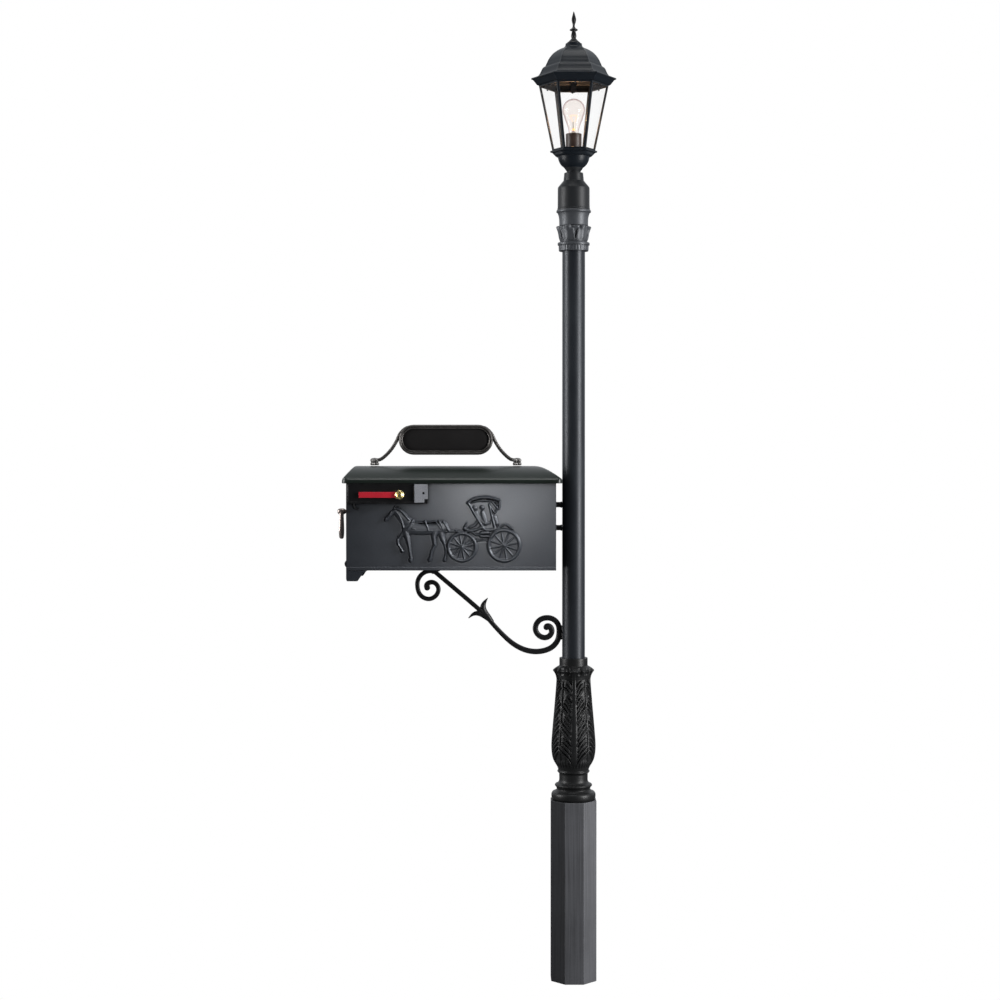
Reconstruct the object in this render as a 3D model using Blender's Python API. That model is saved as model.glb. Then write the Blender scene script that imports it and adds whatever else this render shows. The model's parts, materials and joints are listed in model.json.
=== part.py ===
"""A cast mailbox hung on the side of a lamp post, in Blender 4.5: metres, +Z up.

The post stands on the origin. The mailbox hangs towards -X, with its door at the far end, and its
flag is on the side that faces -Y. Run it with blender --background --python part.py.
"""

import math

import bmesh
import bpy
from mathutils import Matrix, Vector

# Clearances and facets
GAP = 0.0003
ROUND_SIDES = 36
SMALL_SIDES = 16
HEX_SIDES = 6
SMOOTH_ANGLE = math.radians(35)

# Post
POST_RADIUS = 0.03015
POST_BORE = 0.0270
POST_TOP = 2.082
SLEEVE_TOP = 0.478
SLEEVE_HALF_FLAT = 0.060
SLEEVE_WALL = 0.003
SLEEVE_TOP_WALL = 0.005
FOOT_PLATE_THICK = 0.012
FOOT_PLATE_HALF_FLAT = 0.056
ANCHOR_CIRCLE = 0.044
ANCHOR_HOLE_RADIUS = 0.0055
CABLE_HOLE_RADIUS = 0.008
CABLE_RADIUS = 0.0030
CASTING_BORE = POST_RADIUS + GAP
LEAF_BASE_TOP = 0.854
CAPITAL_BASE = 1.931
CAPITAL_RING_TOP = 2.0397
TENON_RADIUS = 0.0377
TENON_TOP = 2.088
FITTER_BASE = 2.040
FITTER_TOP = 2.137
FITTER_RADIUS = 0.0424
FITTER_BORE = 0.0380
SET_SCREW_HEIGHT = 2.062
SET_SCREW_RADIUS = 0.003

# Lantern
STEM_TOP = 2.1507
STEM_FOOT_RADIUS = 0.0180
STEM_HEAD_RADIUS = 0.0245
NIPPLE_RADIUS = 0.0050
NIPPLE_BORE = 0.0036
BOWL_BASE = 2.151
BOWL_FLOOR = 2.160
BOWL_RIM = 2.196
CAGE_BASE = BOWL_RIM + GAP
CAGE_TOP = 2.3687
CAGE_CORNER_LOW = 0.0570
CAGE_CORNER_HIGH = 0.0925
CAGE_WALL = 0.005
CAGE_BAR = 0.0055
CAGE_RAIL = 0.004
GLASS_THICK = 0.0016
PANE_INSET = 0.003
ROOF_BASE = 2.369
ROOF_TOP = 2.479
ROOF_HOLE = 0.0042
STUD_RADIUS = 0.003
STUD_TOP = 2.494
BRIDGE_BASE = 2.362
BRIDGE_TOP = 2.366
BRIDGE_HALF_WIDTH = 0.006
SOCKET_RADIUS = 0.017
SLEEVE_TUBE_RADIUS = 0.021
SLEEVE_TUBE_BORE = 0.0195
SLEEVE_TUBE_TOP = 2.241
BULB_BASE = 2.2403
BULB_TOP = 2.334
BULB_RADIUS = 0.030
BULB_WALL = 0.0009

# Mailbox
BOX_FRONT = -0.594
BOX_REAR = -0.0494
BOX_BASE = 1.093
BOX_TOP = 1.3187
BOX_HALF_WIDTH = 0.115
PANEL_THICK = 0.004
LEDGE_HEIGHT = 0.008
LEDGE_DEPTH = 0.0015
INNER_HALF_WIDTH = BOX_HALF_WIDTH - PANEL_THICK
FRAME_BACK = -0.577
SILL_TOP = 1.101
JAMB_INNER = 0.100
FOOT_BASE = 1.065
FOOT_LENGTH = 0.029
FOOT_SLOPE_END = 0.043
FOOT_SLOPE_RISE = 0.021
FOOT_BACK = -0.539
FOOT_WIDTH = 0.030
RAIL_BASE = 1.306

# Door
HINGE_X = -0.5875
HINGE_Z = 1.110
EAR_RADIUS = 0.011
BARREL_RADIUS = 0.006
PIN_RADIUS = 0.0025
DOOR_BACK = -0.5893
DOOR_TOP = 1.3155
DOOR_HALF_WIDTH = INNER_HALF_WIDTH - 2 * GAP
PULL_X = -0.615
PULL_Z = 1.242
PULL_HEAD_RADIUS = 0.008
PULL_EYE_RADIUS = 0.0060
PULL_PIN_HALF = 0.0155
PULL_PIN_RADIUS = 0.002
PULL_BAR_RADIUS = 0.0048
PULL_BOTTOM = 1.174
PULL_HALF_WIDTH = 0.023

# Hood
HOOD_FRONT = -0.605
HOOD_REAR = -0.033
HOOD_HALF_WIDTH = 0.127
HOOD_BASE = 1.319
HOOD_LIP_TOP = 1.329
HOOD_RIDGE = 1.364
RIDGE_FRONT = -0.577
RIDGE_REAR = -0.1075
HOOD_WALL = 0.004
HOOD_RIM = 0.020
HOOD_CELLS_LONG = 26
HOOD_CELLS_WIDE = 14

# Flag
FLAG_X = -0.454
FLAG_Z = 1.2895
FLAG_PLATE_FRONT = -0.592
FLAG_PLATE_REAR = -0.382
FLAG_PLATE_BASE = 1.267
FLAG_PLATE_TOP = 1.3185
FLAG_PLATE_DEPTH = 0.0095
FLAG_ARM_TIP = -0.560
FLAG_ARM_HALF_HEIGHT = 0.0075
FLAG_ARM_THICK = 0.003
FLAG_ARM_FACE = -0.1285
STRIKE_HALF_WIDTH = 0.018
FLAG_KNOB_RADIUS = 0.0125
FLAG_BOSS_RADIUS = 0.009
STOP_BLOCK_X = (-0.416, -0.382)
STOP_BLOCK_Z = (1.2695, 1.3170)
STOP_BLOCK_DEPTH = 0.006
STOP_NOTCH = 0.009
STOP_SCREW_X = -0.393
STOP_SCREW_Z = 1.294
REST_HOOK_RADIUS = 0.0020

# Topper
PLAQUE_X = -0.3385
PLAQUE_Z = 1.432
PLAQUE_HALF_LENGTH = 0.125
PLAQUE_HALF_HEIGHT = 0.040
PLAQUE_RIM = 0.0105
PLAQUE_RIM_HALF_DEPTH = 0.008
PLAQUE_PANEL_HALF_DEPTH = 0.004
TOPPER_BAR_RADIUS = 0.004
TOPPER_FOOT_RADIUS = 0.011
TOPPER_FEET_X = (-0.5275, -0.1500)

# Bracket and spacers
BRACKET_HALF_BAR = 0.006
BRACKET_HALF_DEPTH = 0.0065
PAD_X = -0.373
PAD_HALF_LENGTH = 0.021
POST_PAD_Z = 0.921
POST_PAD_HALF = 0.019
SPACER_HEIGHTS = (1.260, 1.199)
SPACER_RADIUS = 0.00825
BOLT_RADIUS = 0.003
BOLT_HOLE_RADIUS = 0.0033
BOLT_HEAD_RADIUS = 0.0055
BOLT_HEAD = 0.004
BOLT_LENGTH = 0.035


def clear_scene():
    for obj in list(bpy.data.objects):
        bpy.data.objects.remove(obj, do_unlink=True)


def finish(name, colour, roughness, metallic, transmission=0.0):
    """A Principled material."""
    material = bpy.data.materials.new(name)
    material.use_nodes = True
    shader = material.node_tree.nodes["Principled BSDF"]
    shader.inputs["Base Color"].default_value = (*colour, 1.0)
    shader.inputs["Roughness"].default_value = roughness
    shader.inputs["Metallic"].default_value = metallic
    shader.inputs["Transmission Weight"].default_value = transmission
    return material


def finishes():
    """Every material of the part, by the word its pieces use."""
    return {
        "charcoal": finish("charcoal_powder_coat", (0.040, 0.043, 0.050), 0.42, 0.2),
        "black": finish("gloss_black_paint", (0.010, 0.010, 0.011), 0.25, 0.1),
        "green_black": finish("green_black_paint", (0.014, 0.020, 0.017), 0.30, 0.2),
        "gunmetal": finish("gunmetal", (0.090, 0.088, 0.085), 0.35, 0.8),
        "red": finish("red_paint", (0.560, 0.020, 0.035), 0.35, 0.0),
        "brass": finish("brass", (0.800, 0.550, 0.200), 0.20, 1.0),
        "zinc": finish("cast_zinc", (0.420, 0.430, 0.440), 0.60, 0.7),
        "steel": finish("plated_steel", (0.550, 0.550, 0.560), 0.30, 1.0),
        "bronze": finish("aged_bronze", (0.230, 0.180, 0.150), 0.40, 0.9),
        "brown": finish("brown_sleeve", (0.050, 0.028, 0.020), 0.50, 0.0),
        "porcelain": finish("porcelain", (0.750, 0.740, 0.700), 0.30, 0.0),
        "rubber": finish("cable_jacket", (0.015, 0.015, 0.015), 0.60, 0.0),
        "glass": finish("clear_glass", (0.950, 0.960, 0.960), 0.02, 0.0, 1.0),
        "filament": finish("warm_filament", (0.900, 0.550, 0.200), 0.40, 0.0),
    }


def mesh_of(name, bm, origin, material):
    """The mesh of bm, whose points are in world coordinates, measured from origin."""
    bmesh.ops.translate(bm, verts=bm.verts, vec=-Vector(origin))
    bmesh.ops.recalc_face_normals(bm, faces=bm.faces)
    mesh = bpy.data.meshes.new(name)
    bm.to_mesh(mesh)
    bm.free()
    mesh.shade_smooth()
    mesh.set_sharp_from_angle(angle=SMOOTH_ANGLE)
    if material:
        mesh.materials.append(material)
    return mesh


def add_part(name, bm, material, origin=(0, 0, 0), parent=None):
    """An object whose origin is at a world point, under an empty if one is given."""
    obj = bpy.data.objects.new(name, mesh_of(name, bm, origin, material))
    obj.location = Vector(origin)
    if parent:
        obj.parent = parent
        obj.location -= parent.location
    bpy.context.scene.collection.objects.link(obj)
    return obj


def add_empty(name, location):
    empty = bpy.data.objects.new(name, None)
    empty.location = location
    bpy.context.scene.collection.objects.link(empty)
    return empty


def combine(target, bm, operation):
    """Joins bm to the target, or cuts it out of it, with a Boolean modifier and a hidden tool."""
    tool = add_part(f"{target.name}_tool_{len(target.modifiers) + 1}", bm, None)
    tool.hide_render = True
    tool.display_type = "WIRE"
    modifier = target.modifiers.new(operation.title(), "BOOLEAN")
    modifier.operation = operation
    modifier.solver = "EXACT"
    modifier.object = tool


def unite(target, *solids):
    for bm in solids:
        combine(target, bm, "UNION")


def cut(target, *solids):
    for bm in solids:
        combine(target, bm, "DIFFERENCE")


def span(bm, first, second):
    """Faces between two rings of points, either of which may be a single point."""
    if len(first) == 1 and len(second) == 1:
        return
    count = max(len(first), len(second))
    for index in range(count):
        after = (index + 1) % count
        corners = []
        for vertex in (
            first[index % len(first)],
            first[after % len(first)],
            second[after % len(second)],
            second[index % len(second)],
        ):
            if vertex not in corners:
                corners.append(vertex)
        bm.faces.new(corners)


def skin(rings, loop=False):
    """A closed solid over rings of points. Its ends are capped, or joined if loop is set."""
    bm = bmesh.new()
    layers = [[bm.verts.new(point) for point in ring] for ring in rings]
    for first, second in zip(layers, layers[1:]):
        span(bm, first, second)
    if loop:
        span(bm, layers[-1], layers[0])
        return bm
    for layer in (layers[0], layers[-1]):
        if len(layer) > 2:
            bm.faces.new(layer)
    return bm


def hexagon_factor(angle):
    """How far a regular hexagon with a corner on +X reaches at this angle, for a corner radius of 1."""
    return math.cos(math.pi / 6) / math.cos(angle % (math.pi / 3) - math.pi / 6)


def circle_ring(radius, height, sides=ROUND_SIDES, turn=0.0, hexagonal=False):
    """Points round the Z axis. A radius of 0 gives the one point on the axis."""
    if radius == 0:
        return [(0, 0, height)]
    ring = []
    for index in range(sides):
        angle = turn + 2 * math.pi * index / sides
        reach = radius * (hexagon_factor(angle) if hexagonal else 1)
        ring.append((reach * math.cos(angle), reach * math.sin(angle), height))
    return ring


def turned(profile, sides=ROUND_SIDES, turn=0.0):
    """A solid turned about Z from (radius, height) or (radius, height, "hex") points.

    A profile that starts on the axis is a solid; any other is a closed loop round a bore.
    """
    rings = [circle_ring(*point[:2], sides, turn, len(point) == 3) for point in profile]
    return skin(rings, loop=profile[0][0] > 0)


def placed(bm, centre, axis):
    """The solid with its Z axis laid along axis and its origin moved to centre."""
    turn = Vector((0, 0, 1)).rotation_difference(Vector(axis)).to_matrix()
    bmesh.ops.rotate(bm, verts=bm.verts, matrix=turn)
    bmesh.ops.translate(bm, verts=bm.verts, vec=Vector(centre))
    return bm


def rod(start, end, radius, sides=SMALL_SIDES):
    """A plain cylinder from one point to another."""
    start, end = Vector(start), Vector(end)
    length = (end - start).length
    profile = [(0, 0), (radius, 0), (radius, length), (0, length)]
    return placed(turned(profile, sides), start, end - start)


def pipe(start, end, radius, bore, sides=SMALL_SIDES):
    """A cylinder with a bore, from one point to another."""
    start, end = Vector(start), Vector(end)
    length = (end - start).length
    profile = [(radius, 0), (radius, length), (bore, length), (bore, 0)]
    return placed(turned(profile, sides), start, end - start)


def box(low, high):
    (x0, y0, z0), (x1, y1, z1) = low, high
    corners = [(x0, y0), (x1, y0), (x1, y1), (x0, y1)]
    return skin([[(x, y, z) for x, y in corners] for z in (z0, z1)])


def plate_y(outline, y0, y1):
    """An (x, z) outline extruded along Y."""
    return skin([[(x, y, z) for x, z in outline] for y in (y0, y1)])


def plate_x(outline, x0, x1):
    """A (y, z) outline extruded along X."""
    return skin([[(x, y, z) for y, z in outline] for x in (x0, x1)])


def arc(centre, radius, start, end, steps):
    """Points of an arc in a plane, with its angles in degrees."""
    angles = (math.radians(start + (end - start) * step / steps) for step in range(steps + 1))
    return [(centre[0] + radius * math.cos(a), centre[1] + radius * math.sin(a)) for a in angles]


def smooth_curve(points, steps):
    """A Catmull-Rom curve through the points, with this many steps between two of them."""
    points = [Vector(point) for point in points]
    padded = [2 * points[0] - points[1], *points, 2 * points[-1] - points[-2]]
    curve = []
    for before, start, end, after in zip(padded, padded[1:], padded[2:], padded[3:]):
        for step in range(steps):
            t = step / steps
            bend = 2 * before - 5 * start + 4 * end - after
            twist = 3 * start - before - 3 * end + after
            curve.append(0.5 * (2 * start + (end - before) * t + bend * t**2 + twist * t**3))
    return [*curve, points[-1]]


def spiral(centre, start, radii, steps=6):
    """A scroll's centre line in a plane, from its radius at every quarter turn after the angle start."""
    line = []
    for index, (first, second) in enumerate(zip(radii, radii[1:])):
        for step in range(steps + (index == len(radii) - 2)):
            share = step / steps
            radius = first + (second - first) * share
            angle = math.radians(start + 90 * (index + share))
            line.append((centre[0] + radius * math.cos(angle), centre[1] + radius * math.sin(angle)))
    return line


def swept(path, normal, section, scale=None):
    """A bar along a plane path. The section's points are (across, along the plane's normal)."""
    path = [Vector(point) for point in path]
    normal = Vector(normal)
    rings = []
    for index, point in enumerate(path):
        ahead = path[min(index + 1, len(path) - 1)]
        behind = path[max(index - 1, 0)]
        across = (ahead - behind).normalized().cross(normal)
        size = scale(index / (len(path) - 1)) if scale else 1
        rings.append([point + across * a * size + normal * b * size for a, b in section])
    return skin(rings)


def round_section(radius, sides=8):
    return arc((0, 0), radius, 0, 360 * (sides - 1) / sides, sides - 1)


def bar_section(half_width, half_depth):
    return [
        (-half_width, -half_depth),
        (half_width, -half_depth),
        (half_width, half_depth),
        (-half_width, half_depth),
    ]


def in_xz(points, y=0.0):
    return [(x, y, z) for x, z in points]


def octagon(half_flat, height):
    return circle_ring(half_flat / math.cos(math.pi / 8), height, 8, math.pi / 8)


def build_post(mats):
    """The sleeve, the tube and the castings on it, from the ground up."""
    plate = add_part(
        "foot_plate",
        skin([octagon(FOOT_PLATE_HALF_FLAT, z) for z in (0, FOOT_PLATE_THICK)]),
        mats["steel"],
    )
    cut(plate, rod((0, 0, -0.01), (0, 0, 0.03), CABLE_HOLE_RADIUS))
    for quarter in range(4):
        angle = math.radians(45 + 90 * quarter)
        x, y = ANCHOR_CIRCLE * math.cos(angle), ANCHOR_CIRCLE * math.sin(angle)
        cut(plate, rod((x, y, -0.01), (x, y, 0.03), ANCHOR_HOLE_RADIUS))

    inner = SLEEVE_HALF_FLAT - SLEEVE_WALL
    under = SLEEVE_TOP - SLEEVE_TOP_WALL
    shell = [octagon(SLEEVE_HALF_FLAT, z) for z in (0, SLEEVE_TOP)]
    bore = [octagon(CASTING_BORE, z) for z in (SLEEVE_TOP, under)]
    hollow = [octagon(inner, z) for z in (under, 0)]
    add_part("base_sleeve", skin(shell + bore + hollow, loop=True), mats["charcoal"])

    tube = add_part(
        "post_tube",
        pipe((0, 0, FOOT_PLATE_THICK + GAP), (0, 0, POST_TOP), POST_RADIUS, POST_BORE, ROUND_SIDES),
        mats["charcoal"],
    )
    for height in (*SPACER_HEIGHTS, POST_PAD_Z):
        cut(tube, rod((-0.040, 0, height), (-0.015, 0, height), BOLT_HOLE_RADIUS))

    leaf_profile = [
        (CASTING_BORE, SLEEVE_TOP + GAP),
        (0.0563, SLEEVE_TOP + GAP),
        (0.0583, 0.4865),
        (0.0583, 0.4930),
        (0.0555, 0.4985),
        (0.0441, 0.506),
        (0.0490, 0.515),
        (0.0490, 0.5185),
        (0.0388, 0.526),
        (0.0380, 0.5475),
        (0.0426, 0.5525),
        (0.0405, 0.5575),
        (0.0428, 0.5645),
        (0.0547, 0.587),
        (0.0587, 0.617),
        (0.0566, 0.656),
        (0.0502, 0.730),
        (0.0456, 0.790),
        (0.0462, 0.803),
        (0.0547, 0.821),
        (0.0470, 0.8283),
        (0.0374, 0.835),
        (0.0374, LEAF_BASE_TOP),
        (CASTING_BORE, LEAF_BASE_TOP),
        (CASTING_BORE, 0.822),
        (0.0385, 0.810),
        (0.0395, 0.790),
        (0.0442, 0.730),
        (0.0505, 0.656),
        (0.0525, 0.617),
        (0.0470, 0.587),
        (CASTING_BORE, 0.552),
    ]
    add_part("leaf_base_casting", turned(leaf_profile), mats["black"])

    capital_profile = [
        (CASTING_BORE, CAPITAL_BASE),
        (0.0398, CAPITAL_BASE),
        (0.0420, 1.940),
        (0.0420, 1.950),
        (0.0367, 1.960),
        (0.0400, 1.978),
        (0.0453, 1.994),
        (0.0385, 2.002),
        (0.0388, 2.018),
        (0.0415, 2.029),
        (0.0458, 2.036),
        (0.0458, CAPITAL_RING_TOP),
        (TENON_RADIUS, CAPITAL_RING_TOP),
        (TENON_RADIUS, TENON_TOP),
        (CASTING_BORE, TENON_TOP),
    ]
    add_part("capital", turned(capital_profile), mats["charcoal"])

    fitter_profile = [
        (FITTER_BORE, FITTER_BASE),
        (FITTER_RADIUS, FITTER_BASE),
        (FITTER_RADIUS, 2.0965),
        (0.0402, 2.1012),
        (0.0272, 2.1168),
        (0.0249, FITTER_TOP),
        (NIPPLE_RADIUS + GAP, FITTER_TOP),
        (NIPPLE_RADIUS + GAP, 2.132),
        (0.0205, 2.132),
        (0.0250, 2.113),
        (FITTER_BORE, 2.099),
    ]
    fitter = add_part("fitter_cap", turned(fitter_profile), mats["black"])
    for number, degrees in enumerate((90, 210, 330), 1):
        angle = math.radians(degrees)
        out = Vector((math.cos(angle), math.sin(angle), 0))
        up = Vector((0, 0, SET_SCREW_HEIGHT))
        cut(fitter, rod(up + out * 0.030, up + out * 0.050, SET_SCREW_RADIUS + GAP))
        screw = rod(up + out * (TENON_RADIUS + GAP), up + out * FITTER_RADIUS, SET_SCREW_RADIUS)
        add_part(f"fitter_set_screw_{number}", screw, mats["steel"])

    cable = rod((0, 0, 0.001), (0, 0, BOWL_FLOOR - 0.002), CABLE_RADIUS, 12)
    add_part("supply_cable", cable, mats["rubber"])


def cage_corner(height):
    """The cage's outer corner radius at this height."""
    share = (height - CAGE_BASE) / (CAGE_TOP - CAGE_BASE)
    return CAGE_CORNER_LOW + share * (CAGE_CORNER_HIGH - CAGE_CORNER_LOW)


def turned_about_z(bm, angle):
    bmesh.ops.rotate(bm, verts=bm.verts, matrix=Matrix.Rotation(angle, 3, "Z"))
    return bm


def window(turn):
    """The cutter of two facing panes' windows: a trapezium that runs right across the cage."""
    low, high = CAGE_BASE + CAGE_RAIL, CAGE_TOP - CAGE_RAIL
    outline = []
    for height, side in ((low, -1), (low, 1), (high, 1), (high, -1)):
        outline.append((side * (cage_corner(height) / 2 - CAGE_BAR), height))
    return turned_about_z(plate_y(outline, -0.1, 0.1), turn)


def pane(turn):
    """One glass pane, which leans against the inside of the cage."""
    rings = []
    for height in (CAGE_BASE + PANE_INSET, CAGE_TOP - PANE_INSET):
        outer = (cage_corner(height) - CAGE_WALL) * math.cos(math.pi / 6) - GAP
        inner = outer - GLASS_THICK
        half = (inner - GAP) * math.tan(math.pi / 6)
        corners = ((-half, -outer), (half, -outer), (half, -inner), (-half, -inner))
        rings.append([(x, y, height) for x, y in corners])
    return turned_about_z(skin(rings), turn)


def bulb_profile(shrink):
    """(radius, height) points of the bulb from its neck to its crown, taken in by shrink."""
    centre, radius = BULB_TOP - BULB_RADIUS, BULB_RADIUS
    neck = [(0.0130, BULB_BASE), (0.0140, 2.2500), (0.0180, 2.2660), (0.0240, 2.2820)]
    crown = arc((0, centre), radius - shrink, -25, 90, 9)
    return [(r - shrink, z) for r, z in neck] + crown[:-1] + [(0, centre + radius - shrink)]


def build_lantern(mats, roof_empty):
    """The lantern above the fitter, with its lamp and the roof that lifts off."""
    nipple = pipe((0, 0, 2.127), (0, 0, BOWL_FLOOR - GAP), NIPPLE_RADIUS, NIPPLE_BORE)
    add_part("threaded_nipple", nipple, mats["steel"])
    stem_profile = [
        (NIPPLE_RADIUS + GAP, FITTER_TOP + GAP),
        (STEM_FOOT_RADIUS, FITTER_TOP + GAP),
        (STEM_FOOT_RADIUS, FITTER_TOP + 0.003),
        (STEM_HEAD_RADIUS, STEM_TOP),
        (NIPPLE_RADIUS + GAP, STEM_TOP),
    ]
    add_part("lantern_stem", turned(stem_profile), mats["black"])

    bowl_profile = [
        (NIPPLE_RADIUS + GAP, BOWL_BASE),
        (0.0246, BOWL_BASE),
        (0.0352, 2.161),
        (0.0400, 2.170),
        (0.0424, 2.180),
        (0.0514, 2.185),
        (0.0560, 2.191, "hex"),
        (0.0621, 2.192, "hex"),
        (0.0621, BOWL_RIM, "hex"),
        (0.0540, BOWL_RIM, "hex"),
        (0.0480, 2.190),
        (0.0385, 2.184),
        (0.0360, 2.171),
        (0.0300, BOWL_FLOOR),
        (NIPPLE_RADIUS + GAP, BOWL_FLOOR),
    ]
    add_part("lantern_bowl", turned(bowl_profile), mats["charcoal"])

    cage_profile = [
        (CAGE_CORNER_LOW, CAGE_BASE),
        (CAGE_CORNER_HIGH, CAGE_TOP),
        (CAGE_CORNER_HIGH - CAGE_WALL, CAGE_TOP),
        (CAGE_CORNER_LOW - CAGE_WALL, CAGE_BASE),
    ]
    cage = add_part("lantern_cage", turned(cage_profile, HEX_SIDES), mats["charcoal"])
    for third in range(3):
        cut(cage, window(math.pi / 3 * third))
    for number in range(6):
        add_part(f"glass_pane_{number + 1}", pane(math.pi / 3 * number), mats["glass"])

    holder_profile = [
        (0.0040, BOWL_FLOOR + GAP),
        (SOCKET_RADIUS, BOWL_FLOOR + GAP),
        (SOCKET_RADIUS, 2.239),
        (0.0136, 2.239),
        (0.0136, 2.211),
        (0.0040, 2.211),
    ]
    add_part("lampholder", turned(holder_profile, SMALL_SIDES), mats["porcelain"])
    foot, head = (0, 0, BOWL_FLOOR + GAP), (0, 0, SLEEVE_TUBE_TOP)
    sleeve = pipe(foot, head, SLEEVE_TUBE_RADIUS, SLEEVE_TUBE_BORE, ROUND_SIDES)
    add_part("socket_sleeve", sleeve, mats["brown"])

    cap_profile = [
        (0, 2.2115),
        (0.0045, 2.2115),
        (0.0060, 2.2150),
        (0.0130, 2.2180),
        (0.0130, 2.2390),
        (0, 2.2390),
    ]
    add_part("bulb_cap", turned(cap_profile, SMALL_SIDES), mats["brass"])
    shell = bulb_profile(0) + bulb_profile(BULB_WALL)[::-1]
    add_part("bulb_glass", turned(shell, 24), mats["glass"])
    stem_profile = [
        (0, 2.2405),
        (0.0090, 2.2405),
        (0.0040, 2.2480),
        (0.0030, 2.2700),
        (0.0022, 2.2860),
        (0, 2.2880),
    ]
    add_part("bulb_filament_stem", turned(stem_profile, 12), mats["filament"])

    bridge_half = (CAGE_CORNER_HIGH - CAGE_WALL) * math.cos(math.pi / 6) - 0.006
    low = (-BRIDGE_HALF_WIDTH, -bridge_half, BRIDGE_BASE)
    high = (BRIDGE_HALF_WIDTH, bridge_half, BRIDGE_TOP)
    bridge = add_part("roof_bridge", box(low, high), mats["steel"])
    unite(bridge, rod((0, 0, BRIDGE_BASE + 0.001), (0, 0, STUD_TOP), STUD_RADIUS))

    hole = STUD_RADIUS + GAP
    roof_profile = [
        (0.0910, ROOF_BASE),
        (0.0946, ROOF_BASE),
        (0.1020, 2.3750),
        (0.1100, 2.3850),
        (0.1129, 2.3870),
        (0.1110, 2.3885),
        (0.0906, 2.3970),
        (0.0852, 2.4080),
        (0.0825, 2.4135),
        (0.0745, 2.4198),
        (0.0720, 2.4255),
        (0.0697, 2.4302),
        (0.0660, 2.4380),
        (0.0596, 2.4470),
        (0.0520, 2.4550),
        (0.0433, 2.4610),
        (0.0330, 2.4660),
        (0.0255, 2.4700),
        (0.0212, ROOF_TOP),
        (ROOF_HOLE, ROOF_TOP),
        (ROOF_HOLE, 2.4760),
        (0.0185, 2.4760),
        (0.0225, 2.4675),
        (0.0420, 2.4575),
        (0.0570, 2.4440),
        (0.0665, 2.4270),
        (0.0690, 2.4180),
        (0.0755, 2.4120),
        (0.0815, 2.4040),
        (0.0870, 2.3950),
        (0.0980, 2.3860),
        (0.0985, 2.3830),
    ]
    roof = turned(roof_profile, HEX_SIDES)
    add_part("lantern_roof", roof, mats["charcoal"], roof_empty.location, roof_empty)
    finial_profile = [
        (hole, ROOF_TOP + GAP),
        (0.0176, ROOF_TOP + GAP),
        (0.0160, 2.4840),
        (0.0082, 2.4906),
        (0.0056, 2.4940),
        (0.0066, 2.5020),
        (0.0053, 2.5120),
        (0.0107, 2.5156),
        (0.0060, 2.5200),
        (0.0030, 2.5250),
        (0.0039, 2.5316),
        (0.0063, 2.5430),
        (0.0039, 2.5546),
        (0, 2.5640),
        (0, STUD_TOP + 0.002),
        (hole, STUD_TOP + 0.002),
    ]
    finial = turned(finial_profile, SMALL_SIDES)
    add_part("finial", finial, mats["black"], roof_empty.location, roof_empty)


def hood_height(x, y):
    """The height of the hood's top over the lip: an arch across it, a rake in front and a hip behind."""
    rise = HOOD_RIDGE - HOOD_LIP_TOP
    across = abs(y) / HOOD_HALF_WIDTH
    arch = 1 - 0.55 * across**2 - 0.45 * across**4
    front = max(0.0, min(1.0, (x - HOOD_FRONT) / (RIDGE_FRONT - HOOD_FRONT)))
    rear = max(0.0, min(1.0, (HOOD_REAR - x) / (HOOD_REAR - RIDGE_REAR)))
    hip = 1 - (1 - rear) ** 1.7
    return HOOD_LIP_TOP + rise * min(arch, front, hip)


def hood_underside(x, y):
    """The height of the hood's inner surface."""
    return max(hood_height(x, y) - HOOD_WALL, HOOD_BASE + 0.004)


def evenly(start, end, steps):
    """Evenly spaced numbers from start to end."""
    return [start + (end - start) * step / steps for step in range(steps + 1)]


def hood_layers(x_range, half_width, height):
    """A grid of points over the hood, from its front to its rear."""
    xs = evenly(*x_range, HOOD_CELLS_LONG)
    ys = evenly(-half_width, half_width, HOOD_CELLS_WIDE)
    return [[(x, y, height(x, y)) for y in ys] for x in xs]


def rim_of(grid):
    """The points round a grid's edge, in order."""
    rim = list(grid[0])
    rim += [row[-1] for row in grid[1:]]
    rim += grid[-1][-2::-1]
    return rim + [row[0] for row in grid[-2:0:-1]]


def hood_solid():
    """The hood: its domed skin, its lip, and the rim under it round the open mouth."""
    bm = bmesh.new()
    outer = hood_layers((HOOD_FRONT, HOOD_REAR), HOOD_HALF_WIDTH, hood_height)
    mouth = (HOOD_FRONT + HOOD_RIM, HOOD_REAR - HOOD_RIM)
    inner = hood_layers(mouth, HOOD_HALF_WIDTH - HOOD_RIM, hood_underside)
    surfaces = []
    for grid in (outer, inner):
        made = [[bm.verts.new(point) for point in row] for row in grid]
        for first, second in zip(made, made[1:]):
            for index in range(len(first) - 1):
                bm.faces.new((first[index], first[index + 1], second[index + 1], second[index]))
        surfaces.append(rim_of(made))
    lips = [[bm.verts.new((v.co.x, v.co.y, HOOD_BASE)) for v in rim] for rim in surfaces]
    for first, second in ((surfaces[0], lips[0]), (lips[0], lips[1]), (lips[1], surfaces[1])):
        span(bm, first, second)
    return bm


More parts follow.
